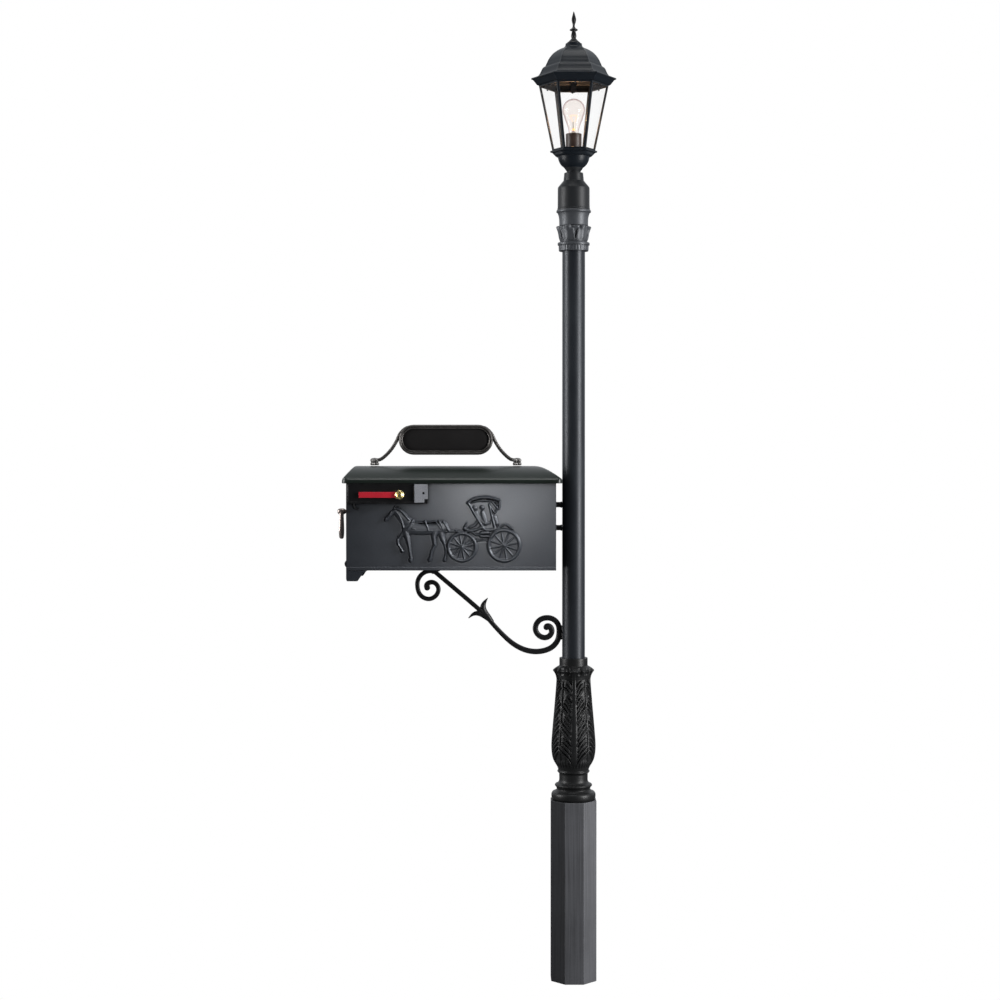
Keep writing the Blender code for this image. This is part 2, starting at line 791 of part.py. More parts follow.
def build_box(mats):
    """The fixed panels of the mailbox."""
    for name, side in (("side_panel_near", -1), ("side_panel_far", 1)):
        section = [
            (INNER_HALF_WIDTH, BOX_BASE),
            (BOX_HALF_WIDTH + LEDGE_DEPTH, BOX_BASE),
            (BOX_HALF_WIDTH + LEDGE_DEPTH, BOX_BASE + LEDGE_HEIGHT),
            (BOX_HALF_WIDTH, BOX_BASE + LEDGE_HEIGHT + LEDGE_DEPTH),
            (BOX_HALF_WIDTH, BOX_TOP),
            (INNER_HALF_WIDTH, BOX_TOP),
        ]
        outline = [(side * y, z) for y, z in section]
        add_part(name, plate_x(outline, BOX_FRONT, BOX_REAR), mats["charcoal"])

    inside = INNER_HALF_WIDTH - GAP
    rear_inner = BOX_REAR - PANEL_THICK
    panel = box((rear_inner, -inside, BOX_BASE), (BOX_REAR, inside, BOX_TOP))
    rear = add_part("rear_panel", panel, mats["charcoal"])
    for height in SPACER_HEIGHTS:
        cut(rear, rod((rear_inner - 0.01, 0, height), (BOX_REAR + 0.01, 0, height), BOLT_HOLE_RADIUS))
    floor = add_part(
        "floor_panel",
        box((FRAME_BACK + GAP, -inside, BOX_BASE), (rear_inner - GAP, inside, BOX_BASE + PANEL_THICK)),
        mats["charcoal"],
    )
    cut(floor, rod((PAD_X, 0, BOX_BASE - 0.01), (PAD_X, 0, BOX_BASE + 0.01), BOLT_HOLE_RADIUS))

    sill = box((BOX_FRONT, -inside, BOX_BASE - GAP - 0.004), (FRAME_BACK, inside, SILL_TOP))
    frame = add_part("front_frame", sill, mats["charcoal"])
    leaf_back = DOOR_BACK + GAP
    for side in (-1, 1):
        jamb_y = sorted((side * JAMB_INNER, side * inside))
        unite(frame, box((leaf_back, jamb_y[0], SILL_TOP - 0.004), (FRAME_BACK, jamb_y[1], BOX_TOP)))
        unite(frame, rod((HINGE_X, jamb_y[0], HINGE_Z), (HINGE_X, jamb_y[1], HINGE_Z), EAR_RADIUS, 24))
        foot_y = sorted((side * BOX_HALF_WIDTH, side * (BOX_HALF_WIDTH - FOOT_WIDTH)))
        foot_top = BOX_BASE - GAP
        foot = [(BOX_FRONT + 0.002, FOOT_BASE), (BOX_FRONT + FOOT_LENGTH, FOOT_BASE)]
        foot += [(BOX_FRONT + FOOT_SLOPE_END, FOOT_BASE + FOOT_SLOPE_RISE), (FOOT_BACK, foot_top)]
        foot += [(BOX_FRONT, foot_top), (BOX_FRONT, FOOT_BASE + 0.006)]
        unite(frame, plate_y(foot, *foot_y))
    apron = [(-0.100, BOX_BASE - 0.002), (-0.100, FOOT_BASE + 0.006), (-0.060, FOOT_BASE + 0.016)]
    apron += [(0, FOOT_BASE + 0.010), (0.060, FOOT_BASE + 0.016), (0.100, FOOT_BASE + 0.006)]
    apron += [(0.100, BOX_BASE - 0.002)]
    unite(frame, plate_x(apron, BOX_FRONT + 0.0005, BOX_FRONT + 0.006))
    rail_half = JAMB_INNER + 0.002
    unite(frame, box((leaf_back, -rail_half, RAIL_BASE), (FRAME_BACK, rail_half, BOX_TOP)))
    cut(frame, rod((HINGE_X, -0.2, HINGE_Z), (HINGE_X, 0.2, HINGE_Z), PIN_RADIUS + GAP))

    add_part("hood", hood_solid(), mats["green_black"])
    pin_half = inside - 0.001
    pin = rod((HINGE_X, -pin_half, HINGE_Z), (HINGE_X, pin_half, HINGE_Z), PIN_RADIUS)
    add_part("door_hinge_pin", pin, mats["steel"])
    magnet = box((FRAME_BACK + GAP, -0.020, RAIL_BASE), (FRAME_BACK + 0.012, 0.020, BOX_TOP - GAP))
    add_part("door_magnet", magnet, mats["zinc"])


def build_door(mats, door_empty, pull_empty):
    """The door, which drops forward on its lower edge, and the drop pull on it."""
    ear_clear = HINGE_Z + EAR_RADIUS + 0.001
    barrel_half = JAMB_INNER - 0.0005
    leaf = [
        (-barrel_half, HINGE_Z),
        (barrel_half, HINGE_Z),
        (barrel_half, ear_clear),
        (DOOR_HALF_WIDTH, ear_clear),
        (DOOR_HALF_WIDTH, DOOR_TOP),
        (-DOOR_HALF_WIDTH, DOOR_TOP),
        (-DOOR_HALF_WIDTH, ear_clear),
        (-barrel_half, ear_clear),
    ]
    hinge = door_empty.location
    door = add_part("door", plate_x(leaf, BOX_FRONT, DOOR_BACK), mats["charcoal"], hinge, door_empty)
    barrel = rod((HINGE_X, -barrel_half, HINGE_Z), (HINGE_X, barrel_half, HINGE_Z), BARREL_RADIUS)
    bore = rod((HINGE_X, -0.2, HINGE_Z), (HINGE_X, 0.2, HINGE_Z), PIN_RADIUS + GAP)
    unite(door, barrel)
    cut(door, bore)
    low = (DOOR_BACK + GAP, -STRIKE_HALF_WIDTH, RAIL_BASE - 0.016)
    high = (DOOR_BACK + 0.002, STRIKE_HALF_WIDTH, RAIL_BASE - 0.002)
    strike = box(low, high)
    add_part("magnet_strike_plate", strike, mats["steel"], hinge, door_empty)

    boss_profile = [
        (0, 0),
        (0.0110, 0),
        (0.0110, 0.0025),
        (0.0045, 0.0045),
        (0.0045, 0.0085),
        (0.0065, 0.0115),
        (PULL_HEAD_RADIUS, 0.0150),
        (PULL_HEAD_RADIUS, 0.0250),
        (0.0055, 0.0300),
        (0, 0.0320),
    ]
    boss = placed(turned(boss_profile, SMALL_SIDES), (BOX_FRONT - GAP, 0, PULL_Z), (-1, 0, 0))
    boss = add_part("door_pull_boss", boss, mats["bronze"], hinge, door_empty)
    cut(boss, rod((PULL_X, -0.03, PULL_Z), (PULL_X, 0.03, PULL_Z), PULL_PIN_RADIUS + GAP))
    ends = ((PULL_X, -PULL_PIN_HALF, PULL_Z), (PULL_X, PULL_PIN_HALF, PULL_Z))
    pin = rod(*ends, PULL_PIN_RADIUS, 12)
    add_part("door_pull_pin", pin, mats["bronze"], hinge, door_empty)

    eye = 0.0122
    shoulder = [(-eye, PULL_Z - 0.005), (-0.0150, PULL_Z - 0.020), (-PULL_HALF_WIDTH, PULL_Z - 0.045)]
    loop = [*shoulder, (-0.014, PULL_BOTTOM + 0.004), (0, PULL_BOTTOM)]
    loop += [(-y, z) for y, z in loop[-2::-1]]
    path = [(PULL_X, y, z) for y, z in smooth_curve(loop, 3)]
    bar = swept(path, (1, 0, 0), round_section(PULL_BAR_RADIUS), lambda t: 1 - 0.25 * abs(2 * t - 1))
    drop = add_part("door_pull_drop", bar, mats["bronze"], pull_empty.location + hinge, pull_empty)
    drop.location = (0, 0, 0)
    for side in (-1, 1):
        ends = sorted((side * 0.0084, side * 0.0145))
        unite(drop, rod((PULL_X, ends[0], PULL_Z), (PULL_X, ends[1], PULL_Z), PULL_EYE_RADIUS))
    cut(drop, rod((PULL_X, -0.03, PULL_Z), (PULL_X, 0.03, PULL_Z), PULL_PIN_RADIUS + GAP))


def build_flag(mats, flag_empty):
    """The black flag plate on the near side, its red arm and brass knob, and the zinc stop."""
    wall = -BOX_HALF_WIDTH - GAP
    face = wall - FLAG_PLATE_DEPTH
    plate = add_part(
        "flag_plate",
        box((FLAG_PLATE_FRONT, face, FLAG_PLATE_BASE), (FLAG_PLATE_REAR, wall, FLAG_PLATE_TOP)),
        mats["black"],
    )
    boss = ((FLAG_X, wall - 0.001, FLAG_Z), (FLAG_X, FLAG_ARM_FACE + GAP, FLAG_Z))
    unite(plate, rod(*boss, FLAG_BOSS_RADIUS))
    cut(plate, rod((FLAG_X, wall - 0.001, FLAG_Z), (FLAG_X, -0.2, FLAG_Z), BOLT_HOLE_RADIUS))

    arm_back = FLAG_ARM_FACE
    arm_front = arm_back - FLAG_ARM_THICK
    outline = [(FLAG_ARM_TIP, FLAG_Z - FLAG_ARM_HALF_HEIGHT)]
    outline += arc((FLAG_X, FLAG_Z), FLAG_ARM_HALF_HEIGHT, -90, 90, 8)
    outline += [(FLAG_ARM_TIP, FLAG_Z + FLAG_ARM_HALF_HEIGHT)]
    pivot = flag_empty.location
    arm = add_part("flag_arm", plate_y(outline, arm_front, arm_back), mats["red"], pivot, flag_empty)
    cut(arm, rod((FLAG_X, -0.2, FLAG_Z), (FLAG_X, -0.1, FLAG_Z), BOLT_HOLE_RADIUS))
    knob_profile = [
        (BOLT_HOLE_RADIUS, 0),
        (FLAG_KNOB_RADIUS, 0),
        (FLAG_KNOB_RADIUS, 0.0025),
        (0.0095, 0.0055),
        (BOLT_HOLE_RADIUS, 0.0065),
    ]
    knob = placed(turned(knob_profile, 24), (FLAG_X, arm_front - GAP, FLAG_Z), (0, -1, 0))
    add_part("flag_knob", knob, mats["brass"], pivot, flag_empty)
    pin = rod((FLAG_X, wall - 0.002, FLAG_Z), (FLAG_X, arm_front - 0.007, FLAG_Z), BOLT_RADIUS)
    add_part("flag_pivot_pin", pin, mats["brass"])

    block_face = face - STOP_BLOCK_DEPTH
    low = (STOP_BLOCK_X[0], block_face, STOP_BLOCK_Z[0])
    high = (STOP_BLOCK_X[1], face - GAP, STOP_BLOCK_Z[1])
    block = add_part("flag_stop_block", box(low, high), mats["zinc"])
    low = (STOP_BLOCK_X[1] - STOP_NOTCH, -0.2, STOP_BLOCK_Z[0] - 0.01)
    high = (STOP_BLOCK_X[1] + 0.01, -0.1, STOP_BLOCK_Z[0] + STOP_NOTCH)
    cut(block, box(low, high))
    hole = ((STOP_SCREW_X, -0.2, STOP_SCREW_Z), (STOP_SCREW_X, -0.1, STOP_SCREW_Z))
    cut(block, rod(*hole, BOLT_HOLE_RADIUS))
    ends = [(STOP_SCREW_X, y, STOP_SCREW_Z) for y in (face - 2 * GAP, block_face + 0.001)]
    add_part("flag_stop_screw", rod(*ends, BOLT_RADIUS), mats["steel"])

    hook = [(-0.5735, FLAG_PLATE_BASE - GAP), (-0.5725, 1.2590), (-0.5690, 1.2540), (-0.5600, 1.2525)]
    path = in_xz(smooth_curve(hook, 3), wall - 0.004)
    add_part("flag_rest_hook", swept(path, (0, 1, 0), round_section(REST_HOOK_RADIUS)), mats["black"])


def stadium(radius, steps=12):
    """The plaque's outline at this distance from its centre line."""
    reach = PLAQUE_HALF_LENGTH - PLAQUE_HALF_HEIGHT
    left = arc((PLAQUE_X - reach, PLAQUE_Z), radius, 90, 270, steps)
    return left + arc((PLAQUE_X + reach, PLAQUE_Z), radius, -90, 90, steps)


def build_topper(mats):
    """The name plaque over the ridge, on two curved legs."""
    outer, inner = stadium(PLAQUE_HALF_HEIGHT), stadium(PLAQUE_HALF_HEIGHT - PLAQUE_RIM)
    depth = PLAQUE_RIM_HALF_DEPTH
    rings = [in_xz(outer, -depth), in_xz(outer, depth), in_xz(inner, depth), in_xz(inner, -depth)]
    frame = add_part("topper_frame", skin(rings, loop=True), mats["gunmetal"])
    half_panel = PLAQUE_PANEL_HALF_DEPTH
    panel = plate_y(stadium(PLAQUE_HALF_HEIGHT - PLAQUE_RIM - GAP), -half_panel, half_panel)
    add_part("plaque_panel", panel, mats["black"])

    foot_profile = [
        (0, 0),
        (TOPPER_FOOT_RADIUS, 0),
        (TOPPER_FOOT_RADIUS, 0.0040),
        (0.0070, 0.0070),
        (0.0070, 0.0170),
        (0.0040, 0.0215),
        (0, 0.0225),
    ]
    for foot_x, name in zip(TOPPER_FEET_X, ("front", "rear")):
        side = 1 if foot_x < PLAQUE_X else -1
        edge = foot_x + side * (0.0070 + GAP)
        leg = [(edge + side * 0.002, 1.3780), (edge + side * 0.010, 1.3810)]
        leg += [(edge + side * 0.0225, 1.3905)]
        leg += [(edge + side * 0.0380, 1.4075), (edge + side * 0.0505, 1.4275)]
        leg += [(edge + side * 0.0605, 1.4480), (edge + side * 0.0760, 1.4625)]
        path = in_xz([(edge, 1.3780), *smooth_curve(leg, 3)])
        unite(frame, swept(path, (0, 1, 0), round_section(TOPPER_BAR_RADIUS)))
        base = hood_height(foot_x, 0) + GAP
        foot = placed(turned(foot_profile, SMALL_SIDES), (foot_x, 0, base), (0, 0, 1))
        add_part(f"topper_foot_{name}", foot, mats["gunmetal"])


def bracket_line():
    """The centre line of the scroll bracket, from the tip under the box to the tip beside the post."""
    under_box = spiral((-0.383, 1.040), 90, (0.0460, 0.0305, 0.0310, 0.0250, 0.0130, 0.0050))
    beside_post = spiral((-0.072, 0.931), 0, (0.0352, 0.0290, 0.0300, 0.0240, 0.0130, 0.0040))
    middle = [(-0.357, 1.073), (-0.257, 0.988), (-0.230, 0.962), (-0.203, 0.931), (-0.166, 0.895)]
    middle += [(-0.130, 0.875), (-0.095, 0.870), (-0.063, 0.878), (-0.044, 0.896), (-0.0375, 0.916)]
    return [*under_box[::-1], (-0.3705, 1.0842), *smooth_curve(middle, 3), *beside_post]


def build_bracket(mats):
    """The scroll bracket under the box, and the two spacers that hold the box's rear to the post."""

    def taper(t):
        return 1 - 0.18 * math.cos(2 * math.pi * t) ** 8

    section = bar_section(BRACKET_HALF_BAR, BRACKET_HALF_DEPTH)
    bar = swept(in_xz(bracket_line()), (0, 1, 0), section, taper)
    bracket = add_part("scroll_bracket", bar, mats["black"])
    depth = BRACKET_HALF_DEPTH
    pad_top = BOX_BASE - GAP
    pad_low = (PAD_X - PAD_HALF_LENGTH, -depth, pad_top - 0.010)
    unite(bracket, box(pad_low, (PAD_X + PAD_HALF_LENGTH, depth, pad_top)))
    post_face = -POST_RADIUS - GAP
    pad_z = (POST_PAD_Z - POST_PAD_HALF, POST_PAD_Z + POST_PAD_HALF)
    unite(bracket, box((post_face - 0.009, -depth, pad_z[0]), (post_face, depth, pad_z[1])))
    leaves = (
        [(-0.230, 0.960), (-0.243, 0.984), (-0.239, 1.000), (-0.227, 1.013)],
        [(-0.230, 0.962), (-0.252, 0.974), (-0.268, 0.970), (-0.277, 0.959)],
    )
    leaf_section = bar_section(0.0055, depth * 0.9)
    for leaf in leaves:
        path = in_xz(smooth_curve(leaf, 4))
        unite(bracket, swept(path, (0, 1, 0), leaf_section, lambda t: 1.05 - 0.8 * t))
    box_hole = ((PAD_X, 0, pad_top - 0.03), (PAD_X, 0, pad_top + 0.01))
    post_hole = ((post_face - 0.03, 0, POST_PAD_Z), (post_face + 0.01, 0, POST_PAD_Z))
    for hole in (box_hole, post_hole):
        cut(bracket, rod(*hole, BOLT_HOLE_RADIUS))

    screw_foot = pad_top - 0.0165
    screw = rod((PAD_X, 0, screw_foot), (PAD_X, 0, BOX_BASE + PANEL_THICK), BOLT_RADIUS)
    add_part("bracket_box_screw", screw, mats["steel"])
    screw = rod((post_face - 0.0135, 0, POST_PAD_Z), (-POST_BORE + 0.003, 0, POST_PAD_Z), BOLT_RADIUS)
    add_part("bracket_post_screw", screw, mats["steel"])

    rear_inner = BOX_REAR - PANEL_THICK
    for name, height in zip(("upper", "lower"), SPACER_HEIGHTS):
        ends = ((BOX_REAR + GAP, 0, height), (post_face, 0, height))
        add_part(f"{name}_spacer", pipe(*ends, SPACER_RADIUS, BOLT_HOLE_RADIUS), mats["black"])
        bolt_profile = [
            (0, 0),
            (BOLT_HEAD_RADIUS, 0),
            (BOLT_HEAD_RADIUS, BOLT_HEAD),
            (BOLT_RADIUS, BOLT_HEAD),
            (BOLT_RADIUS, BOLT_LENGTH),
            (0, BOLT_LENGTH),
        ]
        seat = (rear_inner - GAP - BOLT_HEAD, 0, height)
        bolt = placed(turned(bolt_profile, SMALL_SIDES), seat, (1, 0, 0))
        add_part(f"{name}_bolt", bolt, mats["steel"])


def main():
    clear_scene()
    mats = finishes()
    roof_empty = add_empty("roof_lift", (0, 0, ROOF_BASE))
    door_empty = add_empty("door_hinge", (HINGE_X, 0, HINGE_Z))
    pull_empty = add_empty("pull_swing", (PULL_X - HINGE_X, 0, PULL_Z - HINGE_Z))
    pull_empty.parent = door_empty
    flag_empty = add_empty("flag_swing", (FLAG_X, FLAG_ARM_FACE, FLAG_Z))
    build_post(mats)
    build_lantern(mats, roof_empty)
    build_box(mats)
    build_door(mats, door_empty, pull_empty)
    build_flag(mats, flag_empty)
    build_topper(mats)
    build_bracket(mats)


main()
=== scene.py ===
"""The looks of a cast mailbox on a lamp post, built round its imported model, in metres with +Z up."""

import json
import math

import bmesh
import bpy
import numpy as np
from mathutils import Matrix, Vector


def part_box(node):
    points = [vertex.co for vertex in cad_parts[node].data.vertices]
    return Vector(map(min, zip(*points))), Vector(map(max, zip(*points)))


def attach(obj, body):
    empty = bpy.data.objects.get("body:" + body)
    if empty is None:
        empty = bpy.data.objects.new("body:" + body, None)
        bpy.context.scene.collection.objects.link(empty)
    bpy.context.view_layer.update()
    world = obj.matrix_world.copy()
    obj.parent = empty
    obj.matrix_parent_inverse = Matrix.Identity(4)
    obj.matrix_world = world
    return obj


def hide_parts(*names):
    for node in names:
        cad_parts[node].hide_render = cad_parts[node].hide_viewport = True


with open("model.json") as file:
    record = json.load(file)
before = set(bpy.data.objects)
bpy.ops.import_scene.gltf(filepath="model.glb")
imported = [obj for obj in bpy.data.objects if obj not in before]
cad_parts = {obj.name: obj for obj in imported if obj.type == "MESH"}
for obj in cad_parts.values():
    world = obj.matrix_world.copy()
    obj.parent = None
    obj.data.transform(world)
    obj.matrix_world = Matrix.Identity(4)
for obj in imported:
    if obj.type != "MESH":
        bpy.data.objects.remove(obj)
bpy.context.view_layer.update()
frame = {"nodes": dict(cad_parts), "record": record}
NODES = frame["nodes"]
SLOT_OF = {part["node"]: part["material_slot"] for part in frame["record"]["subparts"]}
BODY_OF = {
    node: body for body, nodes in frame["record"]["behaviour"]["bodies"].items() for node in nodes
}
MM = 0.001
CREASE = math.radians(38)
WELD = 1e-6


# Shapes: a shape is (points, faces), with the points as an array of x, y, z rows.


def curve_through(points, steps=6):
    """A Catmull-Rom curve through points of any dimension."""
    points = np.array(points, float)
    padded = np.vstack([2 * points[0] - points[1], points, 2 * points[-1] - points[-2]])
    share = np.linspace(0, 1, steps, endpoint=False)[:, None]
    curve = []
    for before, start, end, after in zip(padded, padded[1:], padded[2:], padded[3:]):
        bend = 2 * before - 5 * start + 4 * end - after
        twist = 3 * start - before - 3 * end + after
        curve.append(0.5 * (2 * start + (end - before) * share + bend * share**2 + twist * share**3))
    return np.vstack([*curve, points[-1:]])


def runs(*stretches, steps=6):
    """Smooth stretches end to end, each from the last point of the one before, with a corner there."""
    curves, joint = [], []
    for stretch in stretches:
        curves.append(curve_through([*joint, *stretch], steps))
        joint = stretch[-1:]
    return np.vstack(curves)


def arc(centre, radius, start, end, steps):
    """Points of an arc in a plane, with its angles in degrees."""
    angles = np.radians(np.linspace(start, end, steps + 1))
    return np.stack([centre[0] + radius * np.cos(angles), centre[1] + radius * np.sin(angles)], 1)


def skin(rows, wrap_rows=False, wrap_columns=True, capped=True):
    """A surface over rows of points, all of one length, with flat caps at its open ends."""
    rows = np.asarray(rows, float)
    count, width = rows.shape[:2]
    i = np.arange(count if wrap_rows else count - 1)
    j = np.arange(width if wrap_columns else width - 1)
    i, j = (part.ravel() for part in np.meshgrid(i, j, indexing="ij"))
    k, m = (i + 1) % count, (j + 1) % width
    faces = np.stack([i * width + j, i * width + m, k * width + m, k * width + j], 1).tolist()
    if capped and not wrap_rows:
        faces.append(list(range(width))[::-1])
        faces.append(list(range((count - 1) * width, count * width)))
    return rows.reshape(-1, 3), faces


def spaced(*stretches):
    """Even steps over several (start, end, step) stretches that follow on."""
    lines = [np.linspace(a, b, max(1, round((b - a) / step)), endpoint=False) for a, b, step in stretches]
    return np.append(np.concatenate(lines), stretches[-1][1])


def rim_of(shape):
    """The point numbers round the edge of a grid of this (rows, columns) shape, in order."""
    index = np.arange(shape[0] * shape[1]).reshape(shape)
    return np.concatenate([index[0], index[1:, -1], index[-1, -2::-1], index[-2:0:-1, 0]]).tolist()


def bridged(before, after):
    """The faces between two closed rings of point numbers."""
    corners = zip(before, before[1:] + before[:1], after[1:] + after[:1], after)
    return [list(face) for face in corners]


def joined(*shapes):
    """Several shapes as one."""
    points, faces, start = [], [], 0
    for more, sides in shapes:
        points.append(np.asarray(more, float))
        faces += [[start + corner for corner in face] for face in sides]
        start += len(more)
    return np.vstack(points), faces


def lathe(profile, sides=96, reach=None, loop=None):
    """A solid turned about Z from (radius, height) points.

    reach(angles, radii, heights) reshapes its rings, and loop joins its last ring to its first.
    """
    profile = np.asarray(profile, float)
    radii, heights = profile[:, :1], profile[:, 1:]
    angles = 2 * np.pi * np.arange(sides)[None, :] / sides
    reached = reach(angles, radii, heights) if reach else radii + 0 * angles
    rows = np.stack([reached * np.cos(angles), reached * np.sin(angles), heights + 0 * angles], 2)
    loop = radii[0, 0] > 0 if loop is None else loop
    return skin(rows, wrap_rows=loop, capped=not loop)


def laid(shape, centre, axis=(0, 0, 1)):
    """The shape with its Z axis laid along axis and its origin moved to centre."""
    turn = np.array(Vector((0, 0, 1)).rotation_difference(Vector(axis)).to_matrix())
    return shape[0] @ turn.T + np.array(centre), shape[1]


def mirrored(shape, axis):
    """The shape's mirror image across the plane through the origin, at right angles to axis 0, 1 or 2."""
    points = shape[0].copy()
    points[:, axis] *= -1
    return points, [face[::-1] for face in shape[1]]


def rod(start, end, radius, edge=0.0006, sides=32):
    """A cylinder with rounded rims."""
    length = (Vector(end) - Vector(start)).length
    rim = arc((radius - edge, length - edge), edge, 0, 90, 3)
    foot = arc((radius - edge, edge), edge, -90, 0, 3)
    profile = np.vstack([[(0, 0)], foot, rim, [(0, length)]])
    return laid(lathe(profile, sides), start, Vector(end) - Vector(start))


def oval(half_width, half_depth, power=2.0, count=20):
    """A section between an ellipse, at power 2, and a rectangle, as the power grows."""
    angles = 2 * np.pi * np.arange(count) / count
    cosine, sine = np.cos(angles), np.sin(angles)
    across = half_width * np.sign(cosine) * np.abs(cosine) ** (2 / power)
    along = half_depth * np.sign(sine) * np.abs(sine) ** (2 / power)
    return np.stack([across, along], 1)


def swept(path, normal, section, scale=None, loop=False):
    """A bar along a plane path; scale(share) gives the section's size, or its (across, along) sizes."""
    path, normal = np.asarray(path, float), np.asarray(normal, float)
    if loop:
        ahead, behind = np.roll(path, -1, 0), np.roll(path, 1, 0)
    else:
        ahead, behind = np.vstack([path[1:], path[-1:]]), np.vstack([path[:1], path[:-1]])
    along = ahead - behind
    along /= np.linalg.norm(along, axis=1, keepdims=True)
    across = np.cross(along, normal)
    shares = np.linspace(0, 1, len(path))
    sizes = np.array([np.broadcast_to(scale(share) if scale else 1.0, 2) for share in shares])
    rows = path[:, None] + across[:, None] * (section[None, :, :1] * sizes[:, None, :1])
    rows = rows + normal * (section[None, :, 1:] * sizes[:, None, 1:])
    return skin(rows, wrap_rows=loop)


def in_xz(points, y=0.0):
    """Plane (x, z) points as points at this y."""
    points = np.asarray(points, float)
    return np.stack([points[:, 0], np.full(len(points), y), points[:, 1]], 1)


def step_up(value, low, high):
    """A smooth step from 0 at low to 1 at high."""
    share = np.clip((value - low) / (high - low), 0, 1)
    return share * share * (3 - 2 * share)


def dome(distance, half_width):
    """A round ridge's height, as a share of its top, at this distance from its middle line."""
    return np.sqrt(np.clip(1 - (distance / half_width) ** 2, 0, 1))


def stroke(u, v, points, widths, steps=6):
    """A ridge's height share over the (u, v) grid, along a curve through points, with these half widths."""
    table = np.column_stack([points, np.broadcast_to(widths, len(points))])
    line = curve_through(table, steps) if steps > 1 else table
    height = np.zeros(np.broadcast(u, v).shape)
    for (u0, v0, w0), (u1, v1, w1) in zip(line, line[1:]):
        length = max((u1 - u0) ** 2 + (v1 - v0) ** 2, 1e-12)
        share = np.clip(((u - u0) * (u1 - u0) + (v - v0) * (v1 - v0)) / length, 0, 1)
        distance = np.hypot(u - u0 - share * (u1 - u0), v - v0 - share * (v1 - v0))
        height = np.maximum(height, dome(distance, np.maximum(w0 + share * (w1 - w0), 1e-6)))
    return height


# Materials

EDGE_RADIUS = 0.0012
BUMP_STRENGTH = 0.6
COAT_ROUGH = 0.12
CREVICE = (0.35, 0.90)


def node(tree, kind, inputs=(), **settings):
    """A new shader node, with its settings, and its inputs set or linked."""
    made = tree.nodes.new("ShaderNode" + kind)
    for key, value in settings.items():
        setattr(made, key, value)
    for key, value in dict(inputs).items():
        if isinstance(value, bpy.types.NodeSocket):
            tree.links.new(value, made.inputs[key])
        else:
            made.inputs[key].default_value = value
    return made


def noise(tree, place, scale, detail=3.0):
    return node(tree, "TexNoise", {"Vector": place, "Scale": scale, "Detail": detail}).outputs[0]


def mapped(tree, value, low, high, to_low, to_high):
    limits = {"Value": value, "From Min": low, "From Max": high, "To Min": to_low, "To Max": to_high}
    return node(tree, "MapRange", limits).outputs[0]


def mixed(tree, factor, first, second, blend="MIX"):
    """Two colours mixed; each is a socket or an (r, g, b) colour."""
    made = node(tree, "Mix", {0: factor}, data_type="RGBA", blend_type=blend)
    for socket, value in ((made.inputs[6], first), (made.inputs[7], second)):
        if isinstance(value, bpy.types.NodeSocket):
            tree.links.new(value, socket)
        else:
            socket.default_value = (*value, 1.0)
    return made.outputs[2]


def new_material(name):
    material = bpy.data.materials.new(name)
    material.use_nodes = True
    tree = material.node_tree
    place = node(tree, "TexCoord").outputs["Object"]
    return material, tree, tree.nodes["Principled BSDF"], place


def stretched(tree, place, scales):
    return node(tree, "Mapping", {"Vector": place, "Scale": scales}).outputs[0]


